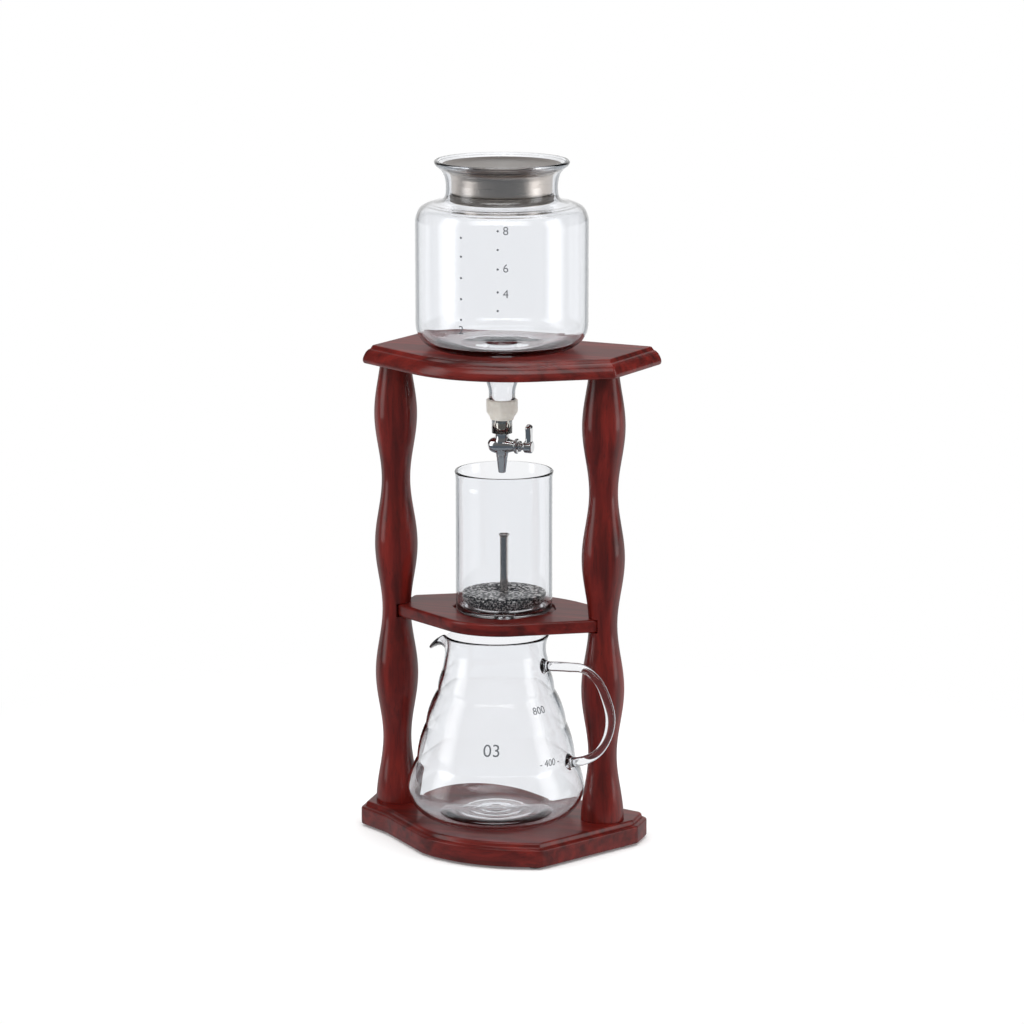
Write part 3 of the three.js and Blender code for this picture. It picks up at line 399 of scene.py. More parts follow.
dish_steel = sintered("sintered_steel_dish", 0.75)
mesh_steel = sintered("sintered_steel_mesh", 0.45)
ivory_silicone = moulded("ivory_silicone", "#D9D4CB", "#E6E2DA", 0.36, 0.25, IOR=1.41,
                         Subsurface_Weight=0.25, Subsurface_Radius=(0.004, 0.0035, 0.003))
seal_rubber = moulded("grey_silicone_seal", "#4C4742", "#5F5953", 0.42, 0.4, IOR=1.45)
foot_rubber = moulded("dark_rubber", "#262422", "#33302D", 0.75, 0.6, IOR=1.5)
print_ink = moulded("grey_screen_print", "#5A5E63", "#64686D", 0.6, 2.0, IOR=1.5)
print("made", len(bpy.data.materials), "materials")

# %% [markdown]
# ## Moulded boards
# The base and the top are solid boards with softly cornered outlines and a moulded edge: a small step
# under the top face, then a swelling side. A router cutter would run round the outline, so the mesh
# does the same: the section of the moulding is carried along the outline, and each of its points is
# the outline set in by some millimetres at some height. Bought mouldings or a bevel modifier give
# even edges, but not this stepped section.

# %% Outline and board
def outline(corners, inset=0.0, steps=14):
    """Points of an outline with arcs in its corners, all set in by inset; corners are (x, y, radius),
    anticlockwise. A corner p moves by inset (l0 + l1) / (1 + l0.l1), with the left normals of the sides
    before and after it; its radius loses the inset where the corner is outward and gains it inward."""
    c = np.asarray(corners, float)
    p, radius = c[:, :2], c[:, 2:3]
    ahead = np.roll(p, -1, 0) - p
    ahead /= np.linalg.norm(ahead, axis=1, keepdims=True)
    before = np.roll(ahead, 1, 0)
    left, left_ahead = (np.stack([-side[:, 1], side[:, 0]], -1) for side in (before, ahead))
    turn = np.arctan2(before[:, 0] * ahead[:, 1] - before[:, 1] * ahead[:, 0],
                      (before * ahead).sum(1))[:, None]
    bend = np.sign(turn)
    p = p + inset * (left + left_ahead) / (1 + (left * left_ahead).sum(1, keepdims=True))
    radius = np.maximum(radius - bend * inset, 0.3)
    centre = p - before * radius * np.tan(np.abs(turn) / 2) + bend * radius * left
    way = np.arctan2(before[:, 1], before[:, 0])[:, None] + turn * np.linspace(0, 1, steps + 1)
    normal = np.stack([np.sin(way), -np.cos(way)], -1)
    return (centre[:, None] + (bend * radius)[:, None] * normal).reshape(-1, 2)


def at_height(flat, z):
    """Flat points (x, y) lifted to height z."""
    return np.column_stack([flat, np.full(len(flat), z)])


def board_rows(corners, section, hole=None):
    """Rows of a board: its outline set in by each (inset, height) of the section. Both faces end in a
    pole, or at a hole's rings (radius, height) about its middle, met in each point's own direction."""
    rows = [at_height(outline(corners, inset), z) for inset, z in section]
    if hole is None:
        middle = np.broadcast_to(rows[0][:, :2].mean(0), rows[0][:, :2].shape)
        return np.array([at_height(middle, section[0][1]), *rows, at_height(middle, section[-1][1])])
    middle, rings = hole
    away = rows[-1][:, :2] - middle
    away /= np.linalg.norm(away, axis=1, keepdims=True)
    return np.array(rows + [at_height(middle + radius * away, z) for radius, z in rings])


def bored(radius, high, low, ease, steps):
    """Rings of a bored wall from the upper face down to the lower one, both edges rounded by ease."""
    return [(radius + ease + 1, high), *arc(radius + ease, high - ease, ease, 90, 180, steps).tolist(),
            *arc(radius + ease, low + ease, ease, 180, 270, steps).tolist(), (radius + ease + 1, low)]


def corners_of(shares, half, front, back):
    """Corner list from shares of the half width and of the front or back reach."""
    s = np.asarray(shares, float)
    return np.column_stack([s[:, 0] * half, s[:, 1] * np.where(s[:, 1] < 0, front, back), s[:, 2] * half])


print("a square outline has", len(outline([(0, 0, 1), (9, 0, 1), (9, 9, 1), (0, 9, 1)])), "points")

# %% Base board
BASE_LOW = 2.0
BASE_SHARES = [(-0.965, -0.173, 0.056), (-0.712, -0.372, 0.5), (-0.254, -0.888, 0.56),
               (0.151, -1.045, 0.85), (0.583, -0.916, 0.056), (0.996, 0.048, 0.056), (0.985, 0.52, 0.08),
               (0, 1.07, 1.6), (-1, 0.5, 0.08)]
base_corners = corners_of(BASE_SHARES, half=113, front=95, back=62)
base_section = np.concatenate([
    [(9, BASE_LOW), (1.5, BASE_LOW)], eased([(1.5, BASE_LOW), (0.35, 2.2), (0.0, 3.2), (0, 13.7)], 0.8)[1:],
    eased([(0, 13.7), (0.15, 15.2), (1.5, 15.9), (3.1, 16.2), (3.7, 17.2), (4.2, 19.2), (5.2, 19.95),
           (7.2, BASE_TOP)], 0.55)[1:], [(9.5, BASE_TOP)]])
base = skin("moulded_base_board", board_rows(base_corners, base_section))
dress(base, board_wood, "stand", "base_board")

# %% Top board
TAP_HOLE = 32.4
TOP_SHARES = [(-0.975, -0.2, 0.046), (0.004, -1, 0.86), (0.925, -0.216, 0.046), (1.041, 0.834, 0.055),
              (0.055, 1, 2.3), (-0.838, 0.838, 0.075)]
top_corners = corners_of(TOP_SHARES, half=108.5, front=85, back=71)
top_section = np.concatenate([
    eased([(6, BOARD_LOW), (1.9, BOARD_LOW), (0.6, 367.2), (0, 368.8), (0.15, 370.4), (1.1, 373.0),
           (2.6, 375.6), (4.4, 377.3), (5.9, 378.0), (6.5, 379.4), (7.2, 380.6), (8.2, BOARD_TOP)], 0.6),
    [(10.5, BOARD_TOP)]])
tap_hole = TANK_AT, bored(TAP_HOLE, BOARD_TOP, BOARD_LOW, 1, 4)
top = skin("moulded_top_board", board_rows(top_corners, top_section, tap_hole), closed=True)
dress(top, board_wood, "stand", "top_board")

# %% [markdown]
# ## Shelf
# The shelf is a thinner six-sided board with plainly rounded edges. The brewer stands in a shallow
# round recess and drips through the hole in its floor. Its ends are lapped into the slim waists of
# both posts. It is the same carried section as the other boards, with the recess as more rings.

# %% Shelf
RECESS_R, RECESS_FLOOR, DRIP_HOLE, SHELF_ROUND = 40.2, 175.7, 29.2, 2
shelf_corners = np.array([(-82, -8.5, 4), (0, -61, 50), (82, -8.5, 4), (82, 27, 4), (0, 76, 100),
                          (-82, 27, 4)]) + [BREWER_AT[0], 0, 0]
rounds = np.concatenate([arc(0, SHELF_LOW + SHELF_ROUND, SHELF_ROUND, -90, 0, 6),
                         arc(0, SHELF_TOP - SHELF_ROUND, SHELF_ROUND, 0, 90, 6)])
shelf_section = [(3.5, SHELF_LOW), *np.column_stack([SHELF_ROUND - rounds[:, 0], rounds[:, 1]]).tolist(),
                 (3.5, SHELF_TOP)]
recess = [(RECESS_R + 2, SHELF_TOP), *arc(RECESS_R + 1, SHELF_TOP - 1, 1, 90, 180, 4).tolist(),
          (RECESS_R, RECESS_FLOOR + 0.3), (RECESS_R - 0.3, RECESS_FLOOR),
          *bored(DRIP_HOLE, RECESS_FLOOR, SHELF_LOW, 0.8, 3)]
shelf = skin("brewer_shelf", board_rows(shelf_corners, shelf_section, (BREWER_AT, recess)), closed=True)
dress(shelf, board_wood, "stand", "shelf")

# %% [markdown]
# ## Turned posts
# Both posts are turned on a lathe to a slow wave: four thick bulges and three slim waists in 347 mm.
# A cosine gives that wave in one line. At the second waist each post has a flat seat where the shelf
# is lapped in: within the shelf's height, points past the seat are moved back onto its plane.

# %% Posts
POST_R, POST_WAVE, POST_PERIOD, POST_EDGE = 13.75, 2.75, 102.2, 1.2


def post(name, x, seat):
    """Turned post: radius R + wave cos(2 pi (z - foot) / period), flattened at the shelf's seat plane."""
    low, high = SHELF_LOW - 0.3, SHELF_TOP + 0.3
    z = np.sort(np.concatenate([np.linspace(BASE_TOP + 0.1, BOARD_LOW - 0.1, 150),
                                [low - 0.01, low, high, high + 0.01]]))
    radius = POST_R + POST_WAVE * np.cos(TURN * (z - BASE_TOP) / POST_PERIOD)
    rows = turned([(0, z[0]), (radius[0] - POST_EDGE, z[0]), *zip(radius, z),
                   (radius[-1] - POST_EDGE, z[-1]), (0, z[-1])], 72, (x, 0))
    seated = (rows[..., 2] > low - 0.001) & (rows[..., 2] < high + 0.001)
    past = seated & ((rows[..., 0] - seat) * x < 0)
    rows[..., 0] = np.where(past, seat, rows[..., 0])
    made = skin(name, rows)
    made.data.set_sharp_from_angle(angle=np.radians(50))
    return made


dress(post("turned_post_left", -POST_X, -80.7), post_wood, "stand", "post_left")
dress(post("turned_post_right", POST_X, 83.9), post_wood, "stand", "post_right")

# %% Feet, bolts and the tap's hidden parts
for material, nodes in ((foot_rubber, [f"foot_{k}" for k in range(1, 6)]),
                        (chrome, ["post_bolt_left", "post_bolt_right", "tap_inlet", "tap_plug"])):
    for node in nodes:
        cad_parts[node].data.materials.clear()
        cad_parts[node].data.materials.append(material)
    print(material.name, "on", *nodes)

# %% [markdown]
# ## Water tank
# The tank is blown from one tube of glass: a rounded foot, an upright wall, a tight shoulder, a short
# neck and a rim turned out like a funnel. A pipe is fused under its floor and ends in the tap's
# collar. The wall is 2.4 mm, with up to 3 mm more in the floor, where glass gathers. One closed section
# gives both faces of the wall, because a refracting solid needs them.

# %% Tank
FOOT = BOARD_TOP + SEAT_GAP
TANK_R, TANK_HEEL = 65.8, 18.8
TANK_WALL, FLOOR_EXTRA, RIM_BEAD = 2.4, 3.0, 0.9
pipe = eased([(10.1, -47.6), (10.1, -32.8), (12.4, -25.2), (12.5, -2), (15.5, 1.0), (24, 0.5),
              (TANK_R - TANK_HEEL, 0)], 2.0, 5)
tank_heel = curve_through(arc(TANK_R - TANK_HEEL, TANK_HEEL, TANK_HEEL, -90, 0, 6), 4)
upper = curve_through([(TANK_R, 96), (65.6, 99.2), (64.6, 102.6), (62.3, 106.8), (58.6, 109.2),
                       (54.7, 110.4), (49.4, 111.4), (45.4, 112.9), (43.3, 115.6), (42.5, 120.3),
                       (42.8, 127.6), (44.6, 133.4), (47.6, 137.2), (50.6, 139.8), (51.2, 140.8)], 6)
tank_outer = [0, FOOT] + np.concatenate([pipe[:-1], tank_heel, upper])
r, z = tank_outer.T
gathered = np.clip((r - 14) / 30, 0, 1) * np.clip((60 - r) / 14, 0, 1) * (np.abs(z - FOOT) < 9)
bead = np.exp(-((z - z[-1]) / 3)**2)
tank_section = glass_wall(tank_outer, TANK_WALL + FLOOR_EXTRA * gathered + RIM_BEAD * bead)
tank = skin("blown_glass_tank", turned(tank_section, 128, TANK_AT), closed=True)
dress(tank, glass, "tank", "tank_glass")
print("tank rim at", round(tank_section[:, 1].max(), 1), "mm")

# %% [markdown]
# ## Lid and seal
# The lid is one spun steel cup, upside down: a flat top inside a raised, rolled rim, a flared shoulder
# under the rim and an upright skirt that carries a soft grey seal. Turned like the glass, it is split
# where the brushed lines change direction, across the top and round the skirt.

# %% Lid
LID_TOP = 521.2
rim_and_top = eased([(0, -1.9), (43.8, -1.9), (44.6, -1.3), (45.6, -0.4), (45.2, 0.5), (43.4, 0.5),
                     (40.5, -0.4), (38.5, -1.0), (0, -1.0)], 1.2)
skirt = eased([(42.4, -1.4), (40.0, -2.6), (37.0, -8), (35.8, -21.2), (35.4, -29.2), (36.0, -30.3),
               (37.5, -30), (37.5, -29), (36.9, -28.6), (36.9, -22.8), (37.6, -21.8), (38.1, -20),
               (38.4, -9), (38.9, -6.4), (40.3, -4.2), (42.4, -2.6), (44.0, -1.6)], 0.8, 3)
seal = eased([(37.1, -28.4), (38.9, -28.7), (39.4, -27.8), (38.9, -26.2), (39.3, -25.2), (39.55, -23.0),
              (39.2, -22.2), (37.8, -22.1), (37.1, -22.8)], 0.5)
for name, section, closed, material, node, slot in (
        ("spun_lid_top", rim_and_top, False, shaded_lid_top_steel, "lid_cap", "steel"),
        ("spun_lid_skirt", skirt, True, lid_side_steel, "lid_cap", "steel"),
        ("ribbed_lid_seal", seal, True, seal_rubber, "lid_seal", "dark_rubber")):
    piece = skin(name, turned(section + [0, LID_TOP], 128, TANK_AT), closed=closed)
    dress(piece, material, "lid", node)

# %% [markdown]
# ## Collar and sleeve
# A silicone collar holds the tap on the tank's pipe. It is moulded with twelve soft flats so that
# fingers can grip it, and tapers to a clear sleeve round the tap's steel neck. The flats come from one
# formula: the distance to a flat wall is the collar's radius over the cosine of the angle to it.

# %% Collar and sleeve
FLATS_FROM, FLATS_RISE = 327, 4


def with_flats(rows, count, middle):
    """Pushes round rows towards count flats: times 1 - s (1 - cos(pi/count) / cos(angle to flat)), where
    s grows from 0 at the height FLATS_FROM to 1 at FLATS_RISE above it."""
    x, y = rows[..., 0] - middle[0], rows[..., 1] - middle[1]
    to_flat = (np.arctan2(y, x) * count / TURN + 0.5) % 1 - 0.5
    share = np.cos(np.pi / count) / np.cos(to_flat * TURN / count)
    scale = 1 - np.clip((rows[..., 2] - FLATS_FROM) / FLATS_RISE, 0, 1) * (1 - share)
    return np.stack([middle[0] + x * scale, middle[1] + y * scale, rows[..., 2]], -1)


collar_section = eased([(8.3, 325.6), (8.9, 325.7), (9.2, 327.4), (11.9, 331.2), (12.1, 333), (12.1, 340.8),
                        (11.2, 341.7), (10.5, 341.6), (10.4, 333.0), (5.0, 332.8), (4.8, 331.8),
                        (8.2, 331.4)], 0.7)
sleeve_section = eased([(5.9, 315.2), (7.9, 315.2), (7.9, 331.0), (5.9, 331.0)], 0.3)
collar = skin("gripped_collar", with_flats(turned(collar_section, 96, TANK_AT), 12, TANK_AT), closed=True)
sleeve = skin("clear_sleeve", turned(sleeve_section, 64, TANK_AT), closed=True)
dress(collar, ivory_silicone, "tank", "tap_collar")
dress(sleeve, clear_tube, "tank", "tap_sleeve")

# %% [markdown]
# ## Tap
# The tap is cast brass, polished and chromed: an egg-shaped body that lies across the pipe, a neck up
# into the sleeve, a slim nozzle down and a plug that turns in the body. The plug ends in a nut, a
# waisted neck and a lever. Each part is turned about its own axis, and the lever is a tube whose width
# and thickness change along it.

# %% Tap body and nozzle
TAP_Z = 305.6


def turned_across(section, sides=64):
    """Rows of a form turned about the tap's cross axis: section points are (radius, x)."""
    rows = turned(section, sides)
    return np.stack([rows[..., 2], rows[..., 0] + TANK_AT[1], rows[..., 1] + TAP_Z], -1)


egg = np.concatenate([curve_through([(0, -11.0), (3.0, -10.75), (5.0, -9.0), (6.3, -5.6), (6.75, -1.5),
                                     (6.4, 2.6), (5.3, 6.2), (4.6, 8.8), (4.3, 10.2)]),
                      [(3.5, 10.4), (0, 10.4)]])
tap_neck = eased([(0, 306), (6.4, 306), (6.3, 309.5), (5.6, 311.4), (5.6, 314.2), (5.9, 314.9),
                  (5.6, 315.4), (5.4, 316), (5.4, 326), (0, 326)], 0.5)
tap_root = eased([(0, 297.9), (4.7, 297.9), (5.0, 299.6), (6.0, 302.2), (0, 304)], 0.5)
nozzle_section = eased([(1.5, 284.3), (2.5, 284.3), (2.8, 284.9), (4.2, 296.2), (4.6, 297.2), (4.6, 297.8),
                        (1.5, 297.8)], 0.25)
tap_body = skin("chromed_tap_body", turned_across(egg), turned(tap_neck, 64, TANK_AT),
                turned(tap_root, 64, TANK_AT))
nozzle = skin("chromed_nozzle", turned(nozzle_section, 48, TANK_AT), closed=True)
dress(tap_body, chrome, "tank", "tap_body")
dress(nozzle, chrome, "tank", "tap_nozzle")

# %% Nut and lever
ARM_X, ARM_TALL, ARM_SQUARE = 21.9, 17.7, 0.75


def lever_rows():
    """Rows up the arm: x goes by cos a and y by sin a, both to the power ARM_SQUARE, times a half width
    and a half depth that swell and thin up the arm and close as sqrt(1 - u^2) at its round ends."""
    z = np.sort(np.concatenate([[-3.2], np.linspace(-3.0, 15.6, 26),
                                ARM_TALL - 3.1 * (1 - np.sin(np.linspace(0.35, 1, 8) * np.pi / 2))]))
    t = np.clip(z / ARM_TALL, 0, 1)
    closing = np.sqrt((1 - np.clip((z - 13.6) / 4.1, 0, 1)**2) * (1 - np.clip((-z - 0.2) / 3.0, 0, 1)**2))
    wide = (2.9 - 0.35 * np.sin(np.pi * t)) * closing
    deep = (3.9 - 0.9 * np.sin(np.pi * np.minimum(t / 0.8, 1)) + 0.5 * t) * closing
    a = np.linspace(0, TURN, 48, endpoint=False)
    across, along = (np.sign(way) * np.abs(way)**ARM_SQUARE for way in (np.cos(a), np.sin(a)))
    x, y = ARM_X + wide[:, None] * across, TANK_AT[1] + deep[:, None] * along
    return np.stack([x, y, np.broadcast_to((TAP_Z + z)[:, None], x.shape)], -1)


nut_section = eased([(3.3, 10.8), (5.2, 10.8), (5.95, 11.4), (5.95, 12.5), (5.2, 13.2), (3.3, 13.2)], 0.3)
hub_section = eased([(0, 13.5), (3.6, 13.5), (4.3, 14.1), (4.3, 15.3), (2.9, 16.0), (2.8, 17.4),
                     (4.0, 18.2), (4.8, 18.9), (4.9, 24.0), (4.0, 24.9), (0, 24.9)], 0.4)
nut = skin("knurled_nut", turned_across(nut_section), closed=True)
lever = skin("chromed_lever", turned_across(hub_section), lever_rows())
dress(nut, chrome, "tank", "tap_nut")
dress(lever, chrome, "tap_handle", "tap_lever")
print("lever tip at", round(TAP_Z + ARM_TALL, 1), "mm")

# %% [markdown]
# ## Brewer and filter
# The brewer is a straight glass cylinder with a thick floor, a rounded foot and a short outlet pipe.
# Inside it stands the filter: a shallow steel dish with a grainy steel lid that lets the coffee
# through, and a slim upright tube that lets the air out.

# %% Brewer
BREWER_FOOT = RECESS_FLOOR + SEAT_GAP
BREWER_R, BREWER_HEEL = 37.1, 5
BREWER_WALL, BREWER_FLOOR_EXTRA = 2.2, 1.2
brewer_outer = [0, BREWER_FOOT] + np.concatenate([
    eased([(4.6, -9.0), (4.6, -0.8), (6.5, 1.4), (28, 1.2), (31.5, 0.3)], 0.9)[:-1],
    curve_through(arc(BREWER_R - BREWER_HEEL, BREWER_HEEL, BREWER_HEEL, -90, 0, 5), 4),
    curve_through([(BREWER_R, 8), (BREWER_R, 96), (37.15, 105), (37.5, 107.6), (37.9, 109)])])
r, z = brewer_outer.T
brewer_wall = BREWER_WALL + BREWER_FLOOR_EXTRA * np.exp(-((z - BREWER_FOOT - 1) / 3)**2) * (r > 9)
brewer_section = glass_wall(brewer_outer, brewer_wall)
brewer = skin("glass_brewer", turned(brewer_section, 112, BREWER_AT), closed=True)
dress(brewer, glass, "brewer", "brewer_glass")
print("brewer rim at", round(brewer_section[:, 1].max(), 1), "mm")

# %% Filter
dish = eased([(3.6, 180.6), (25.5, 180.6), (28.6, 182.0), (31.0, 185.2), (32.2, 188.6), (32.3, 190.4),
              (31.4, 190.4), (31.2, 189.0), (29.8, 185.8), (27.8, 183.0), (25.2, 181.7), (3.6, 181.7)], 0.8)
grain_lid = eased([(3.7, 190.7), (31.2, 190.7), (32.2, 191.0), (32.1, 191.7), (31.0, 191.9), (3.7, 191.7)],
                  0.3)
air_tube = eased([(2.3, 179.8), (3.2, 179.8), (3.25, 234.4), (4.3, 236.0), (4.3, 236.6), (3.8, 236.8),
                  (2.5, 235.4), (2.3, 233)], 0.3)
for name, section, sides, material, node in (
        ("filter_dish_skin", dish, 112, dish_steel, "filter_dish"),
        ("filter_lid_skin", grain_lid, 112, mesh_steel, "filter_mesh"),
        ("filter_tube_skin", air_tube, 48, tube_steel, "filter_tube")):
    dress(skin(name, turned(section, sides, BREWER_AT), closed=True), material, "filter", node)

# %% [markdown]
# ## Carafe
# The carafe is blown in a mould: a round heel, four bands with a soft crease above each, a slim neck
# and a rim drawn out and down into a spout. The creases make the bright lines round it. Its section
# changes with the angle only at the spout, so the same wall function works on one section per angle.

# %% Carafe
CARAFE_FOOT, CARAFE_TALL, CARAFE_R, CARAFE_HEEL = BASE_TOP + SEAT_GAP, 144.6, 68.0, 24
BANDS = np.array([(0.32, 0.893, 1.3), (0.51, 0.793, 1.5), (0.689, 0.659, 1.7), (0.80, 0.602, 0.9)])
NECK = np.array([(0.855, 0.582), (0.905, 0.563), (0.94, 0.566), (0.968, 0.582), (0.984, 0.597)])
FLOOR_R, FLOOR_HOLLOW = 43, 1.3


def on_carafe(shares):
    """Points (radius, height) from rows that start with shares of the height and of the radius."""
    return np.column_stack([shares[:, 1] * CARAFE_R, CARAFE_FOOT + shares[:, 0] * CARAFE_TALL])


def band(start, end, swell):
    """One band: a straight line from start to its crease plus swell sin(pi t)^0.8 outwards."""
    t = np.linspace(0, 1, 25)[1:, None]
    return start + (end - start) * t + np.array([swell, 0]) * np.clip(np.sin(np.pi * t), 0, 1)**0.8


def soften(points):
    """Rounds creases off: an inner point becomes half itself and a quarter of either neighbour."""
    inner = points[:-2] / 4 + points[1:-1] / 2 + points[2:] / 4
    return np.concatenate([points[:1], inner, points[-1:]])


creases = on_carafe(BANDS)
low_bands = [arc(CARAFE_R - CARAFE_HEEL, CARAFE_FOOT + CARAFE_HEEL, CARAFE_HEEL, -90, 0, 22)]
for crease, swell in zip(creases, BANDS[:, 2]):
    low_bands.append(band(low_bands[-1][-1], crease, swell))
neck = curve_through([creases[-1], *on_carafe(NECK)], 5)
upright = soften(np.concatenate([*low_bands, neck[1:]]))
floor_r = np.linspace(0, FLOOR_R, 44)[:, None]
floor_z = CARAFE_FOOT + FLOOR_HOLLOW * np.clip((FLOOR_R + 0.5 - floor_r) / 6, 0, 1)**0.5
carafe_outer = np.concatenate([np.hstack([floor_r, floor_z]), upright])
print("carafe:", len(carafe_outer), "points up its outer wall")

# %% [markdown]
# ## Spout and wall
# The spout is drawn out of the soft rim, so it only moves the top 24 mm, and fades out within 34
# degrees on either side. The inner wall follows the outer one loosely: its creases are shallower, as
# in blown glass, and the floor is thicker, with faint rings from the mould.

# %% Spout and wall
SPOUT_AT, SPOUT_HALF = np.radians([176, 34])
SPOUT_DEEP, SPOUT_OUT, SPOUT_DROP = 24, 15.5, 21
CARAFE_WALL, FLOOR_THICKER, RING_RISE, RING_PITCH = 2.2, 1.5, 0.16, 9.5
INNER_SMOOTHING = 0.45

r, z = carafe_outer.T
angle = np.linspace(0, TURN, 144, endpoint=False)
from_spout = np.abs((angle - SPOUT_AT + np.pi) % TURN - np.pi)
pull = np.cos(np.minimum(from_spout / SPOUT_HALF, 1) * np.pi / 2)**2
lift = np.clip((z - (CARAFE_FOOT + CARAFE_TALL - SPOUT_DEEP)) / SPOUT_DEEP, 0, 1)[:, None]
bend = pull * lift**2
drawn = np.stack([r[:, None] + SPOUT_OUT * bend, z[:, None] - SPOUT_DROP * bend * lift], -1)
chord_r, chord_z = np.vstack([[CARAFE_R, CARAFE_FOOT + CARAFE_HEEL], creases]).T
in_bands = (z > chord_z[0]) & (z < chord_z[-1])
smoother = INNER_SMOOTHING * (r - np.interp(z, chord_z, chord_r)) * in_bands
in_floor = (r < FLOOR_R) & (z < CARAFE_FOOT + 2)
rings = FLOOR_THICKER + RING_RISE * np.cos(TURN * r / RING_PITCH)
thicker = rings * np.clip((44 - r) / 10, 0, 1) * in_floor
jug_rows = turned(glass_wall(drawn, CARAFE_WALL + smoother + thicker), at=CARAFE_AT)
jug = skin("glass_carafe", jug_rows)
dress(jug, glass, "carafe", "carafe_glass")
print("carafe rim at", round(jug_rows[..., 2].max(), 1), "mm")

# %% Handle
ROD_R, ROD_WAVE, FLARE, FLARE_REACH, SUNK = 3.5, 0.25, 2.6, 3.4, 1.3
HANDLE_X, HANDLE_TURN = 95.3, np.radians(-4)
WELDS = np.array([(0.84, 0), (0.336, 0)])
BOW = np.array([(0.366, -0.017), (0.593, -0.014), (0.799, 0.09), (0.931, 0.275), (1, 0.49), (0.945, 0.712),
                (0.799, 0.881), (0.593, 0.971), (0.47, 0.995)])


def handle_rows():
    """Rod along a smooth path in the plane through the jug's axis, from weld to weld through the BOW,
    whose rows are shares of the reach out and of the drop. Its radius is ROD_R plus a flare that falls
    off as e^-(distance to the weld / FLARE_REACH)^2 and a slow slight wave. Points that would lie in
    the jug's wall are moved out onto it, and all is turned by HANDLE_TURN."""
    weld_z = on_carafe(WELDS)[:, 1]
    weld_r = np.interp(weld_z, upright[:, 1], upright[:, 0])
    out, down = [HANDLE_X - weld_r[0], weld_z[1] - weld_z[0]]
    path = curve_through([(weld_r[0] - SUNK, weld_z[0]), *([weld_r[0], weld_z[0]] + BOW * [out, down]),
                          (weld_r[1] - SUNK, weld_z[1])], 14)
    step = np.gradient(path, axis=0)
    tangent = step / np.linalg.norm(step, axis=1, keepdims=True)
    run = np.concatenate([[0], np.cumsum(np.linalg.norm(np.diff(path, axis=0), axis=1))])
    near = np.minimum(run, run[-1] - run)
    radius = ROD_R + FLARE * np.exp(-(near / FLARE_REACH)**2) + ROD_WAVE * np.sin(TURN * run / 60)
    a = np.linspace(0, TURN, 40, endpoint=False)
    outward, across = radius[:, None] * np.cos(a), radius[:, None] * np.sin(a)
    rows = np.stack([path[:, :1] + outward * tangent[:, 1:], across,
                     path[:, 1:] - outward * tangent[:, :1]], -1)
    ends = [np.broadcast_to(rows[k].mean(0), rows[k].shape) for k in (0, -1)]
    rows = np.concatenate([ends[:1], rows, ends[1:]])
    wall = np.interp(rows[..., 2], upright[:, 1], upright[:, 0]) + 0.03
    rows[..., :2] *= np.maximum(wall / np.hypot(rows[..., 0], rows[..., 1]), 1)[..., None]
    c, s = np.cos(HANDLE_TURN), np.sin(HANDLE_TURN)
    rows[..., :2] = rows[..., :2] @ np.array([[c, s], [-s, c]]) + CARAFE_AT
    return rows


handle = skin("glass_handle", handle_rows())
dress(handle, glass, "carafe", "carafe_glass")

# %% [markdown]
# ## Printed marks
# The tank and the carafe carry plain measuring marks, screen printed in grey: dots with numbers on the
# tank, numbers on the carafe. Each mark is drawn flat, as text or as a small disc, then wrapped: its
# width becomes an angle round the glass and its height follows the glass, a tenth of a millimetre
# proud, the thickness of a print drawn thick enough to show.

# %% Wrapping
PRINT_GAP, PRINT_DEEP, STROKE_OFFSET, DOT_SIDES = 0.08, 0.14, -0.002, 16


def flat_text(text, height):
    """Points and faces of extruded text, centred, with that height in mm and a depth from 0 to 1."""
    curve = bpy.data.curves.new("mark", "FONT")
    curve.body, curve.extrude, curve.offset = text, 0.5, STROKE_OFFSET
    holder = bpy.data.objects.new("mark", curve)
    bpy.context.collection.objects.link(holder)
    mesh = bpy.data.meshes.new_from_object(holder.evaluated_get(bpy.context.evaluated_depsgraph_get()))
    flat = np.empty(len(mesh.vertices) * 3)
    mesh.vertices.foreach_get("co", flat)
    points, faces = flat.reshape(-1, 3), [list(face.vertices) for face in mesh.polygons]
    bpy.data.objects.remove(holder)
    low, high = points.min(0), points.max(0)
    points[:, :2] = (points[:, :2] - (low[:2] + high[:2]) / 2) * height / (high[1] - low[1])
    points[:, 2] = points[:, 2] > 0
    return points, faces


def flat_dot(width):
    """Points and faces of a disc of that width with a depth from 0 to 1."""
    n = DOT_SIDES
    a = np.linspace(0, TURN, n, endpoint=False)
    ring = np.column_stack([np.cos(a), np.sin(a)]) * width / 2
    walls = [[k, (k + 1) % n, n + (k + 1) % n, n + k] for k in range(n)]
    return (np.concatenate([at_height(ring, depth) for depth in (0.0, 1.0)]),
            [list(range(n - 1, -1, -1)), list(range(n, 2 * n)), *walls])


def printed(name, marks, at, wall, body):
    """Marks (points and faces, angle in degrees, height) wrapped on a turned wall (radius, height)."""
    points, faces, start = [], [], 0
    for (flat, polygons), degrees, height in marks:
        middle = np.interp(height, wall[:, 1], wall[:, 0])
        slope = np.interp(height + 1, wall[:, 1], wall[:, 0]) - middle
        z = height + flat[:, 1] / np.hypot(1, slope)
        radius = np.interp(z, wall[:, 1], wall[:, 0]) + PRINT_GAP + PRINT_DEEP * flat[:, 2]
        a = np.radians(degrees) + flat[:, 0] / middle
        points.append(np.column_stack([at[0] + radius * np.cos(a), at[1] + radius * np.sin(a), z]))
        faces += [[start + k for k in polygon] for polygon in polygons]
        start += len(flat)
    made = mesh_object(name, in_frame(np.concatenate(points)), faces, smooth=False)
    made.data.materials.append(print_ink)
    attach(made, body)
    print(name, "has", len(marks), "marks")


print("a dot has", len(flat_dot(1.0)[1]), "faces")

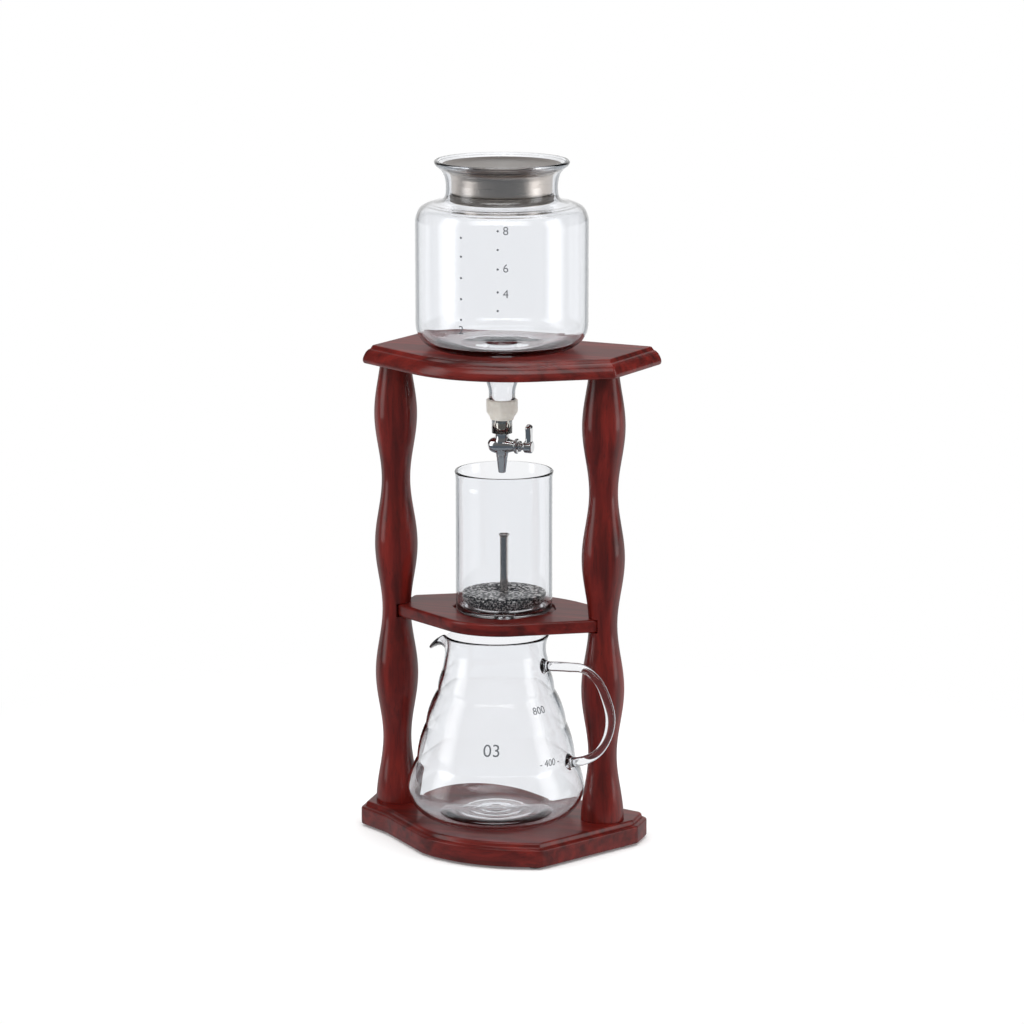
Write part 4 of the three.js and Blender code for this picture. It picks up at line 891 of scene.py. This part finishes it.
# %% Marks on the tank and the carafe
dot = flat_dot(1.75)
tank_marks = [(dot, -72.6, height) for height in (479.2, 465.2, 450.6, 433.4, 419.4)]
tank_marks += [(dot, -97.4, height) for height in (473.3, 459.1, 443.1, 427.2, 411.6)]
tank_marks += [(flat_text(text, 6.2), degrees, height) for text, degrees, height in
               (("8", -67.4, 479.4), ("6", -67.4, 451.4), ("4", -67.4, 432.2), ("2", -97.4, 403.9))]
carafe_marks = [(flat_text(text, tall), degrees, height) for text, tall, degrees, height in
                (("03", 9.4, -73.3, 85.8), ("800", 5.6, -28.2, 112.2), ("- 400 -", 5.2, -26.8, 73.2))]
printed("tank_scale_print", tank_marks, TANK_AT, tank_outer[tank_outer[:, 1] > FOOT + 19], "tank")
printed("carafe_scale_print", carafe_marks, CARAFE_AT, upright[upright[:, 1] > CARAFE_FOOT + CARAFE_HEEL],
        "carafe")

# %% [markdown]
# ## Camera, floor and light
# The tower is shown as a product picture: slightly from the right, eye a little above its middle, with
# a long lens, so the posts stay parallel. The floor and the surroundings are white to the eye and to
# rays that come through glass or off metal from behind; only the shadow on the floor stays. Glass and
# chrome show what stands round them. So the room that a mirror sees has a dark ring at its sides, which
# draws the dark stripes of the chrome, and rays that were mirrored within one wall of glass find it
# dark, which draws the thin dark edges of the glass. Soft boxes stand on either side and overhead, and
# a wide one high in front lights the creases of the carafe. Wood gets its upright soft highlights from
# the two at the sides.

# %% Camera
AIM, BACKWARDS, DISTANCE, FOCAL = (0.00936, 0.0147, 0.2547), (0.3361, -0.9205, 0.1995), 3.366, 154.69

scene = bpy.context.scene
lens = bpy.data.cameras.new("product_camera")
lens.lens, lens.sensor_width = FOCAL, 36
camera = bpy.data.objects.new("product_camera", lens)
backwards = mathutils.Vector(BACKWARDS).normalized()
camera.location = mathutils.Vector(AIM) + DISTANCE * backwards
camera.rotation_euler = backwards.to_track_quat("Z", "Y").to_euler()
bpy.context.collection.objects.link(camera)
scene.camera = camera
print("camera at", [round(v, 3) for v in camera.location])

# %% What the surroundings show
INSIDE_DARK = 0.72


def shown(tree, mirror_view, low):
    """Two sockets: 1 for camera, mirror and through-glass rays, and how bright those see the studio:
    mirror_view for rays that left a mirror, also through glass, else 1, less INSIDE_DARK times low for
    rays that were mirrored within one wall of glass and leave it sideways past the white sweep."""
    rays = add(tree, "LightPath").outputs

    def both(a, b, operation):
        return add(tree, "Math", {0: a, 1: b}, operation=operation).outputs["Value"]
    straight = both(rays["Is Camera Ray"], rays["Is Transmission Ray"], "MAXIMUM")
    seen = both(straight, rays["Is Glossy Ray"], "MAXIMUM")
    mirrored = both(rays["Glossy Depth"], 0.5, "GREATER_THAN")
    one_wall = both(both(mirrored, rays["Is Transmission Ray"], "MULTIPLY"),
                    both(rays["Transmission Depth"], 2.5, "LESS_THAN"), "MULTIPLY")
    sideways = both(one_wall, low, "MULTIPLY")
    view = add(tree, "Mix", {0: mirrored, 2: 1.0, 3: mirror_view}, data_type="FLOAT").outputs[0]
    dark = add(tree, "Mix", {0: sideways, 2: view, 3: 1 - INSIDE_DARK}, data_type="FLOAT").outputs[0]
    return seen, dark


print("glass edges see the studio at", round(1 - INSIDE_DARK, 2))

# %% White room
ROOM_LIGHT = 0.72
ROOM_SEEN = [(0.0, "#6A6A6A"), (0.30, "#747474"), (0.48, "#B8B8B8"), (0.60, "#404040"), (0.90, "#404040"),
             (0.955, "#FFFFFF")]

world = bpy.data.worlds.new("white_studio")
world.use_nodes = True
scene.world = world
tree = world.node_tree
way = add(tree, "TexCoord").outputs["Generated"]
towards = add(tree, "VectorMath", {0: way, 1: (-0.34, 0.92, 0.2)}, operation="DOT_PRODUCT").outputs["Value"]
low = add(tree, "MapRange", {"Value": add(tree, "SeparateXYZ", {"Vector": way}).outputs["Z"],
                             "From Min": 0.6, "From Max": 0.25}).outputs["Result"]
behind = add(tree, "MapRange", {"Value": towards, "From Min": -1.0}).outputs["Result"]
seen, bright = shown(tree, ramp(tree, behind, ROOM_SEEN), low)
strength = add(tree, "Mix", {0: seen, 2: ROOM_LIGHT, 3: bright}, data_type="FLOAT").outputs[0]
fill(tree, tree.nodes["Background"], {"Color": linear("#FFFFFF"), "Strength": strength})
print("the room lights at strength", ROOM_LIGHT, "and shows at 1")

# %% Floor
FLOOR_HALF, FLOOR_GLOW = 8, 0.12
# Painted reflection: to mirror rays the white floor glows in these greys, slate in front of the tower and
# white behind it, which gives the chrome its slate lower half.
MIRRORED_FLOOR_SHADE = [(0.0, "#22262A"), (0.13, "#5F676F"), (0.5, "#BABEC2"), (1.0, "#FFFFFF")]

square = np.array([(-1, -1, 0), (1, -1, 0), (1, 1, 0), (-1, 1, 0)]) * FLOOR_HALF
floor = mesh_object("studio_floor", square, [(0, 1, 2, 3)], smooth=False)
paper, tree, shader = finish_of("white_paper_sweep", Base_Color=linear("#F4F4F4"), Roughness=1.0,
                                Specular_IOR_Level=0.0)
place = add(tree, "TexCoord").outputs["Object"]
across = add(tree, "SeparateXYZ", {"Vector": place}).outputs["Y"]
behind = add(tree, "MapRange", {"Value": across, "From Min": -0.25, "From Max": 0.2, "To Min": 0.13},
             interpolation_type="SMOOTHSTEP").outputs["Result"]
seen, bright = shown(tree, behind, 1.0)
away = add(tree, "VectorMath", {0: place}, operation="LENGTH").outputs["Value"]
far = add(tree, "MapRange", {"Value": away, "From Min": 0.22, "From Max": 0.6},
          interpolation_type="SMOOTHSTEP").outputs["Result"]
plain = add(tree, "Math", {0: far, 1: add(tree, "LightPath").outputs["Is Glossy Ray"]},
            operation="MAXIMUM").outputs["Value"]
glow = add(tree, "Emission", {"Color": linear("#FFFFFF"), "Strength": FLOOR_GLOW}).outputs["Emission"]
near = add(tree, "AddShader", {0: shader.outputs["BSDF"], 1: glow}).outputs["Shader"]
# Painted reflection: mirror rays and the far floor get this glow instead of lit paper.
distant = add(tree, "Emission", {"Color": ramp(tree, bright, MIRRORED_FLOOR_SHADE)}).outputs["Emission"]
looks = add(tree, "MixShader", {0: plain, 1: near, 2: distant}).outputs["Shader"]
finished = add(tree, "MixShader", {0: seen, 1: shader.outputs["BSDF"], 2: looks}).outputs["Shader"]
fill(tree, tree.nodes["Material Output"], {"Surface": finished})
floor.data.materials.append(paper)
print("floor:", 2 * FLOOR_HALF, "m square, lit round the tower and plain white further out")

# %% Soft boxes
LAMPS_AIM, FADE = (0, 0, 0.25), 6.0
SOFT_BOXES = [("soft_box_left", (-1.25, -0.75, 0.6), (0.9, 1.6), 6.0),
              ("soft_box_right", (1.6, 0.2, 0.6), (0.95, 1.6), 6.5),
              ("overhead_box", (0.05, 0.15, 1.7), (1.4, 1.2), 8.5),
              ("front_top_box", (0.3, -1.0, 1.45), (2.4, 0.5), 9.5)]

for name, place, size, watts in SOFT_BOXES:
    lamp = bpy.data.lights.new(name, "AREA")
    lamp.shape, lamp.size, lamp.size_y, lamp.energy = "RECTANGLE", size[0], size[1], watts
    lamp.use_nodes = True
    tree = lamp.node_tree
    spot = add(tree, "NewGeometry").outputs["Parametric"]
    across = add(tree, "SeparateXYZ", {"Vector": spot}).outputs["X"]
    rest = add(tree, "Math", {0: across, 1: -FADE, 2: FADE}, operation="MULTIPLY_ADD").outputs["Value"]
    soft = add(tree, "Math", {0: across, 1: rest}, operation="MULTIPLY").outputs["Value"]
    fill(tree, tree.nodes["Emission"], {"Strength": soft})
    box = bpy.data.objects.new(name, lamp)
    box.location = place
    back = mathutils.Vector(place) - mathutils.Vector(LAMPS_AIM)
    box.rotation_euler = back.to_track_quat("Z", "Y").to_euler()
    bpy.context.collection.objects.link(box)
print(len(SOFT_BOXES), "soft boxes, each fading out to its sides as", FADE, "u (1 - u)")

# %% View transform
scene.view_settings.view_transform = "Standard"
